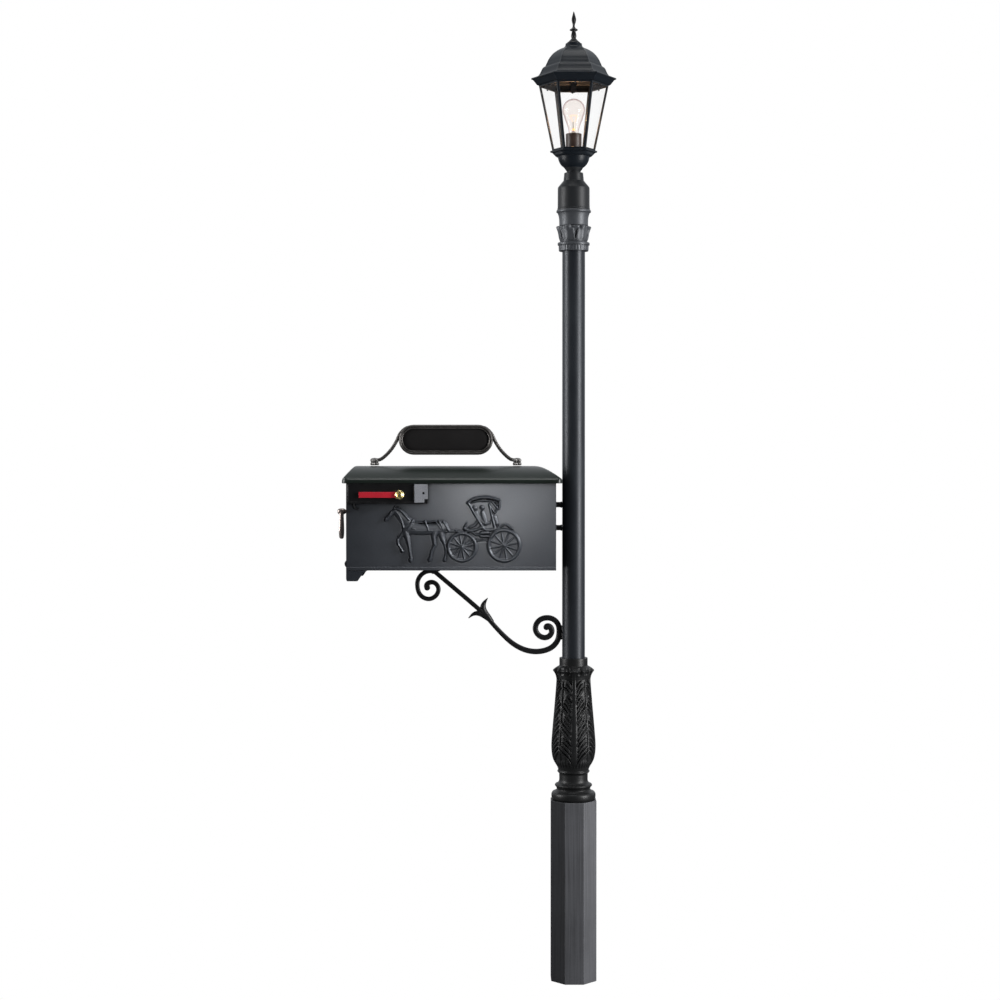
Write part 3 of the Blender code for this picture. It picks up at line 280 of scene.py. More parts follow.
def painted(
    name, colour, rough, metallic=0.0, coat=0.0, specular=0.5, spread=0.12, streak=None, pitted=0.0,
    grain=0.00002, grain_scale=1400, cast=0.0, cast_scale=160,
    worn=(0.20, 0.20, 0.21), wear=0.25, crevice_shade=0.0, crevice_shade_reach=0.006,
):
    """Paint, plating or bare metal: a drifting colour, fine grain, worn edges and painted shade in crevices.
    """
    material, tree, shader, place = new_material(name)
    drift = noise(tree, place, 9.0)
    speckle = noise(tree, place, 420.0, 2.0)
    darker, lighter = ([c * (1 + sign * spread) for c in colour] for sign in (-1, 1))
    shade = mixed(tree, mapped(tree, drift, 0.3, 0.7, 0, 1), darker, lighter)
    flecks = mapped(tree, speckle, 0.35, 0.65, 1 - spread / 2, 1 + spread / 2)
    grey = node(tree, "CombineColor", {0: flecks, 1: flecks, 2: flecks}).outputs[0]
    shade = mixed(tree, 1.0, shade, grey, "MULTIPLY")
    if streak:
        lines = noise(tree, stretched(tree, place, streak), 1.0, 4.0)
        shade = mixed(tree, mapped(tree, lines, 0.42, 0.62, 0, 0.55), shade, [c * 1.7 for c in colour])
    rounded = node(tree, "Bevel", {"Radius": EDGE_RADIUS}, samples=4)
    normals = {0: rounded.outputs[0], 1: node(tree, "NewGeometry").outputs["Normal"]}
    alike = node(tree, "VectorMath", normals, operation="DOT_PRODUCT").outputs["Value"]
    edge = mapped(tree, alike, 0.99, 0.86, 0, 1)
    patches = mapped(tree, noise(tree, place, 70.0), 0.42, 0.64, 0, wear)
    edge = node(tree, "Math", {0: edge, 1: patches}, operation="MULTIPLY").outputs[0]
    shade = mixed(tree, edge, shade, worn)
    # Painted shade: an occlusion mask darkens the colour and weakens the specular in crevices and recesses.
    if crevice_shade:
        air = node(tree, "AmbientOcclusion", {"Distance": crevice_shade_reach}, samples=6).outputs["AO"]
        shade = mixed(tree, mapped(tree, air, *CREVICE, crevice_shade, 0), shade, PAINTED_SHADE_BLACK)
        gloss = mapped(tree, air, *CREVICE, specular * (1 - crevice_shade), specular)
        tree.links.new(gloss, shader.inputs["Specular IOR Level"])
    tree.links.new(shade, shader.inputs["Base Color"])
    dull = mapped(tree, drift, 0.3, 0.7, rough * 0.9, rough * 1.12)
    if pitted:
        pits = mapped(tree, speckle, 0.4, 0.6, -pitted, pitted)
        dull = node(tree, "Math", {0: dull, 1: pits}, operation="ADD").outputs[0]
    tree.links.new(dull, shader.inputs["Roughness"])
    bumps = {"Height": noise(tree, place, grain_scale, 1.0), "Distance": grain, "Strength": BUMP_STRENGTH}
    bump = node(tree, "Bump", bumps).outputs[0]
    if cast:
        lumps = noise(tree, place, cast_scale, 3.0)
        bumps = {"Height": lumps, "Distance": cast, "Strength": BUMP_STRENGTH, "Normal": bump}
        bump = node(tree, "Bump", bumps).outputs[0]
    tree.links.new(bump, shader.inputs["Normal"])
    levels = {"Metallic": metallic, "Coat Weight": coat, "Coat Roughness": COAT_ROUGH}
    for key, value in {**levels, "Specular IOR Level": specular}.items():
        shader.inputs[key].default_value = value
    return material


def clear(name, tint, edge_tint, gloss=0.04, dusty=0.02):
    """Thin clear glass: it lets light through, mirrors more at a slant, and carries a little dust."""
    material, tree, shader, place = new_material(name)
    tree.nodes.remove(shader)
    slant = node(tree, "LayerWeight", {"Blend": 0.5}).outputs["Facing"]
    body = mixed(tree, mapped(tree, slant, 0.45, 1.0, 0, 1), tint, edge_tint)
    through = node(tree, "BsdfTransparent", {"Color": body}).outputs[0]
    mirror = node(tree, "BsdfGlossy", {"Color": (1, 1, 1, 1), "Roughness": gloss}).outputs[0]
    steep = node(tree, "Math", {0: slant, 1: 5.0}, operation="POWER").outputs[0]
    shine = mapped(tree, steep, 0, 1, 0.008, 0.35)
    glass = node(tree, "MixShader", {0: shine, 1: through, 2: mirror}).outputs[0]
    dust = node(tree, "BsdfDiffuse", {"Color": (0.8, 0.8, 0.78, 1)}).outputs[0]
    film = mapped(tree, noise(tree, place, 60.0), 0.45, 0.8, 0.0, dusty)
    glass = node(tree, "MixShader", {0: film, 1: glass, 2: dust}).outputs[0]
    tree.links.new(glass, tree.nodes["Material Output"].inputs["Surface"])
    return material


def glowing(name, colour, strength):
    material, tree, shader, place = new_material(name)
    hot = mapped(tree, noise(tree, place, 900.0), 0.3, 0.7, strength * 0.7, strength * 1.2)
    tree.links.new(hot, shader.inputs["Emission Strength"])
    shader.inputs["Emission Color"].default_value = (*colour, 1)
    shader.inputs["Base Color"].default_value = (*colour, 1)
    shader.inputs["Roughness"].default_value = 0.4
    return material


CHARCOAL = (0.026, 0.029, 0.035)
TUBE_GREY = (0.015, 0.018, 0.023)
BLACK = (0.0075, 0.0075, 0.0082)
# Near black for the painted shade in crevices.
PAINTED_SHADE_BLACK = (0.0015, 0.0015, 0.0015)
# Materials below that are given crevice shade paint shade into their crevices and recesses.
LOOKS = {
    "charcoal_coat": painted(
        "charcoal_powder_coat", TUBE_GREY, 0.42, metallic=0.3, cast=0.00003, specular=0.4
    ),
    "gloss_black": painted("gloss_black_paint", BLACK, 0.34, cast=0.00012, wear=0.3, specular=0.28),
    "green_black_hood": painted(
        "green_black_paint", (0.0070, 0.0115, 0.0090), 0.38, coat=0.05, cast=0.00015, cast_scale=220,
        specular=0.36,
    ),
    "gunmetal_topper": painted(
        "gunmetal_paint", (0.088, 0.083, 0.079), 0.36, metallic=0.75, cast=0.0002, cast_scale=420,
        worn=(0.50, 0.48, 0.46), wear=0.6, crevice_shade=0.6,
    ),
    "red_flag": painted("red_enamel", (0.52, 0.016, 0.032), 0.34, coat=0.3, worn=(0.25, 0.02, 0.02)),
    "brass_bright": painted(
        "bright_brass", (0.90, 0.76, 0.36), 0.24, metallic=1.0, spread=0.08, worn=(0.98, 0.90, 0.62),
        crevice_shade=0.5,
    ),
    "rough_zinc": painted(
        "cast_zinc", (0.34, 0.35, 0.38), 0.60, metallic=0.5, spread=0.35, cast=0.0016, cast_scale=420,
        pitted=0.15,
    ),
    "plated_steel": painted("plated_steel", (0.50, 0.50, 0.52), 0.28, metallic=1.0, worn=(0.3, 0.27, 0.25)),
    "aged_bronze": painted(
        "aged_bronze", (0.34, 0.29, 0.27), 0.36, metallic=0.85, cast=0.0002, worn=(0.62, 0.55, 0.50), wear=0.6
    ),
    "brown_sleeve": painted("brown_phenolic", (0.030, 0.014, 0.009), 0.45, worn=(0.07, 0.04, 0.03)),
    "porcelain": painted("glazed_porcelain", (0.72, 0.71, 0.67), 0.22, coat=0.4, worn=(0.6, 0.58, 0.5)),
    "cable_jacket": painted("rubber_jacket", (0.014, 0.014, 0.014), 0.62, grain=0.00008),
    "clear_glass": clear("clear_glass", (0.985, 0.985, 0.985), (0.95, 0.96, 0.96)),
    "filament": glowing("glowing_filament", (1.0, 0.45, 0.14), 1.5),
}
SLEEVE_COAT = painted(
    "brushed_powder_coat", (0.046, 0.047, 0.052), 0.50, metallic=0.2, cast=0.00006, streak=(420, 420, 5)
)
PANEL_COAT = painted(
    "panel_powder_coat", CHARCOAL, 0.42, metallic=0.25, cast=0.00003, crevice_shade=0.95, crevice_shade_reach=0.012
)
CAPITAL_COAT = painted(
    "capital_powder_coat", (0.052, 0.056, 0.063), 0.44, metallic=0.3, cast=0.0001, crevice_shade=0.85
)
LANTERN_COAT = painted("lantern_powder_coat", (0.0060, 0.0085, 0.0120), 0.38, cast=0.0001, specular=0.20)
LEAF_COAT = painted(
    "leaf_casting_paint", (0.0070, 0.0073, 0.0078), 0.40, cast=0.00035, cast_scale=240,
    worn=(0.06, 0.06, 0.06), wear=0.5, crevice_shade=0.9, specular=0.30,
)
FITTER_COAT = painted(
    "fitter_powder_coat", (0.010, 0.0112, 0.013), 0.46, metallic=0.1, cast=0.0001, specular=0.32
)
PLAQUE_COAT = painted(
    "plaque_black", (0.009, 0.0082, 0.0082), 0.38, cast=0.0003, cast_scale=300, specular=0.35
)
PANE_GLASS = clear("pane_glass", (0.998, 0.998, 0.998), (0.985, 0.99, 0.99), dusty=0.002)
MOUNT_WHITE = painted("mount_white", (0.75, 0.72, 0.66), 0.3)
# Painted shade: a near-black, dull stand-in for the plated roof bridge, which sits in shade under the roof.
UNDER_ROOF_PAINTED_SHADE = painted("under_roof_painted_shade", (0.009, 0.006, 0.005), 0.6, specular=0.1)
# Painted shade: a darker, duller copy of the gloss black, made to take the highlights off the spacers.
SPACER_PAINTED_SHADE = painted("spacer_painted_shade", (0.0035, 0.0035, 0.0038), 0.6, specular=0.12)
FOOT_METAL = painted(
    "cast_foot_metal", (0.17, 0.165, 0.16), 0.42, metallic=0.7, cast=0.0006, cast_scale=420, crevice_shade=0.8
)
BULB_GLASS = clear("bulb_glass", (0.99, 0.975, 0.965), (0.80, 0.70, 0.70), gloss=0.02)


# Pieces

TUBE_PLAY = 0.0003
TUBE_WALL = 0.00315
NIPPLE_BORE = 0.0053
PIN_BORE = 0.0033


def made(name, shape, material, body, slot, crease=CREASE):
    """One new piece that rides on a body."""
    mesh = bpy.data.meshes.new(name)
    mesh.from_pydata(shape[0].tolist(), [], shape[1])
    bm = bmesh.new()
    bm.from_mesh(mesh)
    bmesh.ops.remove_doubles(bm, verts=bm.verts, dist=WELD)
    bmesh.ops.recalc_face_normals(bm, faces=bm.faces)
    bm.to_mesh(mesh)
    bm.free()
    mesh.shade_smooth()
    mesh.set_sharp_from_angle(angle=crease)
    mesh.materials.append(material)
    piece = bpy.data.objects.new(name, mesh)
    bpy.context.scene.collection.objects.link(piece)
    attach(piece, body)
    return piece


def stand_in(name, shape, *nodes, material=None, crease=CREASE):
    """A new piece in the place of CAD nodes, with their body and their finish."""
    slot = SLOT_OF[nodes[0]]
    piece = made(name, shape, material or LOOKS[slot], BODY_OF[nodes[0]], slot, crease)
    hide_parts(*nodes)
    return piece


def keep_cad_nodes():
    """Every CAD node takes its finish, and the boxy ones get rounded edges."""
    special = {
        "base_sleeve": SLEEVE_COAT,
        "lantern_cage": LANTERN_COAT,
        "flag_stop_screw": LOOKS["gloss_black"],
        # Painted shade on the roof bridge.
        "roof_bridge": UNDER_ROOF_PAINTED_SHADE,
        # Painted shade on the spacers.
        "upper_spacer": SPACER_PAINTED_SHADE,
        "lower_spacer": SPACER_PAINTED_SHADE,
    }
    special.update({f"fitter_set_screw_{number}": FITTER_COAT for number in (1, 2, 3)})
    special.update({f"glass_pane_{number}": PANE_GLASS for number in range(1, 7)})
    rounded = {
        "base_sleeve": 0.0016,
        "foot_plate": 0.0010,
        "front_frame": 0.0008,
        "door": 0.0010,
        "flag_plate": 0.0010,
        "flag_arm": 0.0006,
        "flag_stop_block": 0.0012,
        "rear_panel": 0.0006,
        "floor_panel": 0.0006,
        "lantern_cage": 0.0005,
        "roof_bridge": 0.0004,
        "door_magnet": 0.0006,
        "magnet_strike_plate": 0.0003,
    }
    for name, cad in NODES.items():
        cad.data.materials.clear()
        cad.data.materials.append(special.get(name, LOOKS[SLOT_OF[name]]))
        weld = cad.modifiers.new("weld", "WELD")
        weld.merge_threshold = 1e-5
        if name in rounded:
            bevel = cad.modifiers.new("rounded", "BEVEL")
            bevel.width = rounded[name]
            bevel.segments = 3
            bevel.limit_method = "ANGLE"
            bevel.angle_limit = CREASE
            bevel.harden_normals = True


# Post


def build_post():
    low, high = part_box("post_tube")
    radius = high.x
    bore = radius - TUBE_WALL
    profile = [(radius, low.z), (radius, high.z), (bore, high.z), (bore, low.z)]
    stand_in("post_tube_skin", lathe(profile, 96), "post_tube")


LEAF_FINGERS = 15
FIRST_FINGER = 566
FINGER_PITCH = 14.4
LEAF_MIDDLE_RADIUS = 50
LEAF_SUNK = 5.0
LEAF_CURL = 9.5


def finger_height(s, z):
    """The acanthus leaf's fingers, as a share of their full height, s mm out from its rib and z mm up."""
    ridge = np.zeros(np.broadcast(s, z).shape)
    for finger in range(LEAF_FINGERS):
        start = FIRST_FINGER + FINGER_PITCH * finger
        tier_place = finger % 4
        out = 34 - 8 * step_up(start, 640, 790) - 2.6 * tier_place
        rise = 1.35 * out
        path = [(4.0, start), (5.0 + 0.35 * out, start + 0.55 * rise), (3.0 + out, start + rise)]
        top = 1.0 - 0.08 * tier_place
        ridge = np.maximum(ridge, top * stroke(s, z, path, (1.8, 3.9, 2.8), 7))
    return ridge


def leaf_reach(angles, radii, heights):
    """The leaf base casting: four acanthus leaves that meet at the diagonals and curl out at their tips."""
    z = heights * 1000
    quarter = np.pi / 2
    turn = (angles + quarter / 2) % quarter - quarter / 2
    s = np.abs(turn) * LEAF_MIDDLE_RADIUS
    leafy = step_up(z, 562, 572) * (1 - step_up(z, 816, 822))
    ridge = finger_height(s, z)
    rib_half = 7.5 - 1.5 * step_up(z, 640, 810)
    rib = dome(s, rib_half) ** 0.35 * step_up(z, 566, 576)
    between = 0.55 * dome(39.3 - s, 3.6) * step_up(z, 575, 590) * (1 - step_up(z, 790, 800))
    ridge = np.maximum(np.maximum(ridge, rib), between)
    foot = 1 - step_up(z, 572, 592)
    ridge = np.maximum(ridge, foot * (0.55 + 0.45 * np.abs(np.cos(angles * 18))))
    sunk = LEAF_SUNK * (1 - ridge) * leafy
    flare = step_up(z, 798, 820) * (1 - step_up(z, 823, 833))
    tip = np.clip(1 - (s / 13) ** 4, 0, 1)
    side_tip = 0.55 * np.clip(1 - ((s - 27) / 7) ** 2, 0, 1)
    curl = flare * (1 - np.maximum(tip, side_tip)) * LEAF_CURL
    return radii - np.maximum(sunk, curl) * MM


def build_leaf_base():
    """The casting at the foot of the tube: a stepped foot, four leaves and a collar."""
    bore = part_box("post_tube")[1].x + TUBE_PLAY
    low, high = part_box("leaf_base_casting")
    outside = runs(
        [(0.0563, low.z), (0.0583, 0.4850), (0.0583, 0.4940), (0.0552, 0.4990)],
        [(0.0490, 0.5010), (0.0441, 0.506)],
        [(0.0455, 0.5105), (0.0490, 0.5150)],
        [(0.0494, 0.5172), (0.0480, 0.5195)],
        [(0.0420, 0.5225), (0.0388, 0.5262)],
        [(0.0378, 0.5320), (0.0380, 0.5475)],
        [(0.0405, 0.5500), (0.0426, 0.5525), (0.0424, 0.5550)],
        [(0.0404, 0.5575), (0.0428, 0.5645)],
    )
    leaves = curve_through(
        [(0.0428, 0.5645), (0.0547, 0.587), (0.0587, 0.617), (0.0566, 0.656), (0.0502, 0.730)]
        + [(0.0456, 0.790), (0.0462, 0.8030), (0.0492, 0.8120), (0.0540, 0.8195)],
        21,
    )
    collar = runs(
        [(0.0540, 0.8195), (0.0547, 0.8210), (0.0540, 0.8228)],
        [(0.0470, 0.8283), (0.0390, 0.8330)],
        [(0.0376, 0.8342), (0.0374, 0.8360), (0.0374, high.z - 0.0015), (0.0366, high.z)],
        [(bore, high.z)],
    )
    inside = np.array([(bore, 0.822), (0.037, 0.800), (0.037, 0.575), (bore, 0.552), (bore, low.z)])
    profile = np.vstack([outside, leaves, collar, inside])
    shape = lathe(profile, 272, leaf_reach, loop=True)
    stand_in("leaf_base", shape, "leaf_base_casting", material=LEAF_COAT, crease=math.radians(60))


def capital_reach(angles, radii, heights):
    """The capital: a fluted foot and six broad ribbed leaves whose tips stand out over V-shaped gaps."""
    z = heights * 1000
    half = np.pi / 6
    turn = (angles - math.radians(5) + half) % (2 * half) - half
    s = np.abs(turn) / half
    leaf = step_up(z, 1957, 1962) * (1 - step_up(z, 1996, 1998))
    up = np.clip((z - 1960) / 34, 0, 1)
    gap = step_up(s, 0.96 - 0.42 * up, 1.04 - 0.30 * up)
    ribs = 0.5 + 0.5 * np.cos(turn / half * np.pi * 2.5)
    tip = step_up(z, 1982, 1994) * leaf
    carve = leaf * (0.8 * (1 - ribs) + 4.0 * gap) + tip * 4.5 * step_up(s, 0.15, 0.55) * (1 - gap)
    flutes = (0.5 + 0.5 * np.cos(angles * 32)) * step_up(z, 1932, 1934) * (1 - step_up(z, 1944, 1946))
    return radii - (carve + 0.6 * flutes) * MM


def build_capital():
    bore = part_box("post_tube")[1].x + TUBE_PLAY
    low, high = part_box("capital")
    outside = runs(
        [(0.0385, low.z), (0.0394, 1.934), (0.0398, 1.944), (0.0400, 1.946)],
        [(0.0422, 1.947), (0.0424, 1.950), (0.0420, 1.953)],
        [(0.0367, 1.955), (0.0362, 1.957)],
    )
    leaves = [(0.0362, 1.957), (0.0392, 1.965), (0.0420, 1.980), (0.0455, 1.9905), (0.0466, 1.9945)]
    leaves = curve_through([*leaves, (0.0445, 1.9965)], 12)
    neck = runs(
        [(0.0445, 1.9965), (0.0390, 1.9975), (0.0382, 2.003), (0.0388, 2.018), (0.0415, 2.029)]
        + [(0.0440, 2.033)],
        [(0.0455, 2.0335), (0.0458, 2.0360), (0.0452, 2.0385), (0.0440, 2.0397)],
        [(0.0377, 2.0397)], [(0.0377, high.z)],
        [(bore, high.z)],
        steps=5,
    )
    profile = np.vstack([outside, leaves, neck, [(bore, low.z)]])
    shape = lathe(profile, 256, capital_reach, loop=True)
    stand_in("capital_casting", shape, "capital", material=CAPITAL_COAT, crease=math.radians(60))


def build_fitter():
    low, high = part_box("fitter_cap")
    outside = runs(
        [(0.0380, low.z), (0.0430, low.z)],
        [(0.0432, low.z + 0.003), (0.0424, low.z + 0.010), (0.0421, 2.0955)],
        [(0.0417, 2.0985), (0.0402, 2.1012)],
        [(0.0272, 2.1168)],
        [(0.0268, 2.1180), (0.0250, high.z - 0.001), (0.0240, high.z)],
    )
    inside = runs(
        [(0.0242, high.z), (NIPPLE_BORE, high.z)],
        [(NIPPLE_BORE, 2.132), (0.0205, 2.132)],
        [(0.0250, 2.113), (0.0380, 2.099)],
    )
    profile = np.vstack([outside, inside])
    stand_in("fitter_skin", lathe(profile, 96, loop=True), "fitter_cap", material=FITTER_COAT)
    low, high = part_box("lantern_stem")
    cone = runs(
        [(NIPPLE_BORE, low.z), (0.0178, low.z)],
        [(0.0182, low.z + 0.0012), (0.0178, low.z + 0.0026)],
        [(0.0186, low.z + 0.0045), (0.0215, high.z - 0.0045), (0.0245, high.z)],
        [(NIPPLE_BORE, high.z)],
    )
    stand_in("stem_skin", lathe(cone, 64, loop=True), "lantern_stem", material=FITTER_COAT)


# Lantern


def hexagon(angles, sharpness=1.0):
    """How far a hexagon with a corner on +X reaches, for a corner radius of 1; less sharpness rounds it."""
    exact = np.cos(np.pi / 6) / np.cos(angles % (np.pi / 3) - np.pi / 6)
    return 1 - (1 - exact) * sharpness


def hip(angles):
    """1 on the hexagon's corners, falling to 0 a few degrees off them."""
    off = np.abs((angles + np.pi / 6) % (np.pi / 3) - np.pi / 6)
    return 1 - step_up(off, 0.015, 0.06)


def build_bowl():
    low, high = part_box("lantern_bowl")
    outside = runs(
        [(NIPPLE_BORE, low.z), (0.0246, low.z)],
        [(0.0318, 2.1572), (0.0352, 2.1610)],
        [(0.0393, 2.1690), (0.0424, 2.180)],
        [(0.0470, 2.1815), (0.0514, 2.185), (0.0560, 2.190)],
        [(0.0621, 2.192)], [(0.0621, high.z)],
        [(0.0540, high.z)],
        [(0.0480, 2.190), (0.0385, 2.184), (0.0360, 2.171), (0.0300, 2.160)],
        [(NIPPLE_BORE, 2.160)],
    )

    def reach(angles, radii, heights):
        share = step_up(heights, 2.181, 2.1915)
        return radii * (1 - share + share * hexagon(angles))

    stand_in("bowl_skin", lathe(outside, 96, reach, loop=True), "lantern_bowl", material=LANTERN_COAT)


def build_roof():
    low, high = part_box("lantern_roof")
    outside = runs(
        [(0.0910, low.z), (0.0946, low.z)],
        [(0.0980, 2.3712), (0.1030, 2.3775), (0.1085, 2.3838)],
        [(0.1112, 2.3842), (0.1126, 2.3858), (0.1125, 2.3876), (0.1108, 2.3888)],
        [(0.1000, 2.3915), (0.0930, 2.3950), (0.0890, 2.4000)],
        [(0.0862, 2.4055), (0.0842, 2.4100), (0.0825, 2.4135)],
        [(0.0790, 2.4170), (0.0745, 2.4198)],
        [(0.0736, 2.4215), (0.0720, 2.4255), (0.0697, 2.4302), (0.0660, 2.4380), (0.0596, 2.4470)]
        + [(0.0520, 2.4550), (0.0433, 2.4612), (0.0340, 2.4660), (0.0265, 2.4690)],
        [(0.0235, 2.4715), (0.0222, 2.4750), (0.0215, high.z)],
        [(0.0042, high.z)],
        [(0.0042, 2.4760), (0.0185, 2.4760)],
        [(0.0225, 2.4675), (0.0420, 2.4575), (0.0570, 2.4440), (0.0665, 2.4270)],
        [(0.0690, 2.4190), (0.0755, 2.4135)],
        [(0.0820, 2.4050), (0.0870, 2.3950), (0.0980, 2.3860)],
        [(0.0985, 2.3830), (0.0910, low.z)],
    )

    def reach(angles, radii, heights):
        ribbed = step_up(heights, 2.389, 2.392) * (1 - step_up(heights, 2.464, 2.470)) * (radii > 0.0200)
        sharp = 1 - 0.9 * step_up(heights, 2.466, 2.478)
        return radii * hexagon(angles, sharp) + 0.0006 * hip(angles) * ribbed

    shape = lathe(outside, 192, reach, loop=True)
    stand_in("roof_casting", shape, "lantern_roof", material=LANTERN_COAT, crease=math.radians(30))


def build_finial():
    low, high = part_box("finial")
    outside = runs(
        [(0.0033, low.z), (0.0172, low.z)],
        [(0.0178, low.z + 0.0012), (0.0170, low.z + 0.003)],
        [(0.0125, 2.4860), (0.0080, 2.4905), (0.0056, 2.4940)],
        [(0.0068, 2.4965), (0.0072, 2.5000), (0.0064, 2.5050), (0.0052, 2.5105), (0.0054, 2.5128)],
        [(0.0095, 2.5138), (0.0107, 2.5156), (0.0095, 2.5174), (0.0058, 2.5195)],
        [(0.0036, 2.5225), (0.0029, 2.5260), (0.0036, 2.5310), (0.0056, 2.5375)]
        + [(0.0063, 2.5425), (0.0053, 2.5490), (0.0032, 2.5560), (0.0012, high.z - 0.001), (0, high.z)],
        [(0, 2.4960)], [(0.0033, 2.4960)],
        steps=5,
    )

    def reach(angles, radii, heights):
        leafy = step_up(heights, 2.526, 2.534) * (1 - step_up(heights, 2.556, 2.562))
        return radii * (1 - 0.16 * leafy * (0.5 - 0.5 * np.cos(angles * 5)))

    stand_in("finial_casting", lathe(outside, 80, reach, loop=True), "finial")


def build_lamp():
    """The bulb with its glass mount, its coil and glow, and the sleeve round its holder."""
    low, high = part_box("bulb_glass")
    radius = (high.x - low.x) / 2
    centre = high.z - radius
    thin = 0.0008
    foot, coil_height = 2.2407, 2.2900
    turns, coil_steps = 22, 400

    def shell(shrink):
        neck = [(0.0128, low.z), (0.0133, 2.2460), (0.0148, 2.2550), (0.0185, 2.2670), (0.0240, 2.2810)]
        crown = arc((0, centre), radius, -30, 90, 14)
        line = curve_through([*neck, *crown], 3)
        line[:, 0] = np.maximum(line[:, 0] - shrink, 0)
        over = line[:, 1] > centre
        line[over, 1] = centre + (line[over, 1] - centre) * (1 - shrink / radius)
        return line

    profile = np.vstack([shell(0), shell(thin)[::-1]])
    stand_in("bulb_envelope", lathe(profile, 64, loop=True), "bulb_glass", material=BULB_GLASS)
    stem = [(0.0088, foot), (0.0060, 2.2450), (0.0036, 2.2520), (0.0030, 2.2680), (0.0034, 2.2720)]
    stem = np.vstack([[(0, foot)], curve_through(stem), [(0, 2.2730)]])
    made("bulb_mount", lathe(stem, 32), MOUNT_WHITE, "post_and_box", "porcelain")
    turn = np.linspace(0, 2 * np.pi * turns, coil_steps)
    spread = np.linspace(-1, 1, coil_steps)
    rise = coil_height - 0.0020 * spread**2 + 0.0011 * np.sin(turn)
    coil = np.stack([0.010 * spread, 0.0011 * np.cos(turn), rise], 1)
    wire = swept(coil, (0, 0, 1), oval(0.00022, 0.00022, count=6))
    supports = []
    for side in (-1, 1):
        post = curve_through([(side * 0.0022, 2.2715), (side * 0.0050, 2.2790), (side * 0.0100, 2.2880)])
        supports.append(swept(in_xz(post), (0, 1, 0), oval(0.00035, 0.00035, count=8)))
    stand_in("filament_coil", joined(wire, *supports), "bulb_filament_stem")
    ember = curve_through([(0, 2.2455), (0.0030, 2.2475), (0.0042, 2.2515), (0.0028, 2.2560), (0, 2.2580)])
    made("filament_glow", lathe(ember, 24), LOOKS["filament"], "post_and_box", "filament")

    low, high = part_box("socket_sleeve")
    radius, bore = high.x, 0.0195
    sleeve = runs(
        [(bore, low.z), (radius, low.z)],
        [(radius, high.z - 0.0010)],
        [(radius - 0.0003, high.z - 0.0002), (radius - 0.0008, high.z)],
        [(bore, high.z)],
    )
    stand_in("socket_sleeve_skin", lathe(sleeve, 64, loop=True), "socket_sleeve")


def build_pane_screws():
    """A small round-headed screw near the top of every pane, at the rail."""
    low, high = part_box("lantern_cage")
    foot_corner, top_corner = 0.0570, high.x
    height = high.z - 0.0048
    share = (height - low.z) / (high.z - low.z)
    face = (foot_corner + share * (top_corner - foot_corner)) * math.cos(math.pi / 6)
    profile = np.vstack([[(0, -0.001), (0.0026, -0.001)], arc((0, -0.0005), 0.0026, 12, 90, 6)])
    shapes = []
    for side in range(6):
        angle = math.radians(30 + 60 * side)
        out = Vector((math.cos(angle), math.sin(angle), -0.18)).normalized()
        spot = Vector((math.cos(angle) * face, math.sin(angle) * face, height))
        shapes.append(laid(lathe(profile, 20), spot, out))
    made("pane_screws", joined(*shapes), LOOKS["gloss_black"], "post_and_box", "gloss_black")


# Mailbox


RELIEF_STEP = 0.00098
RELIEF_DEPTH = 1.7
TRENCH_DEPTH = 0.9
RELIEF_FRONT, RELIEF_REAR = 0.095, 0.458
RELIEF_FOOT, RELIEF_TOP = 0.020, 0.197
PLAIN_STEP = 0.006


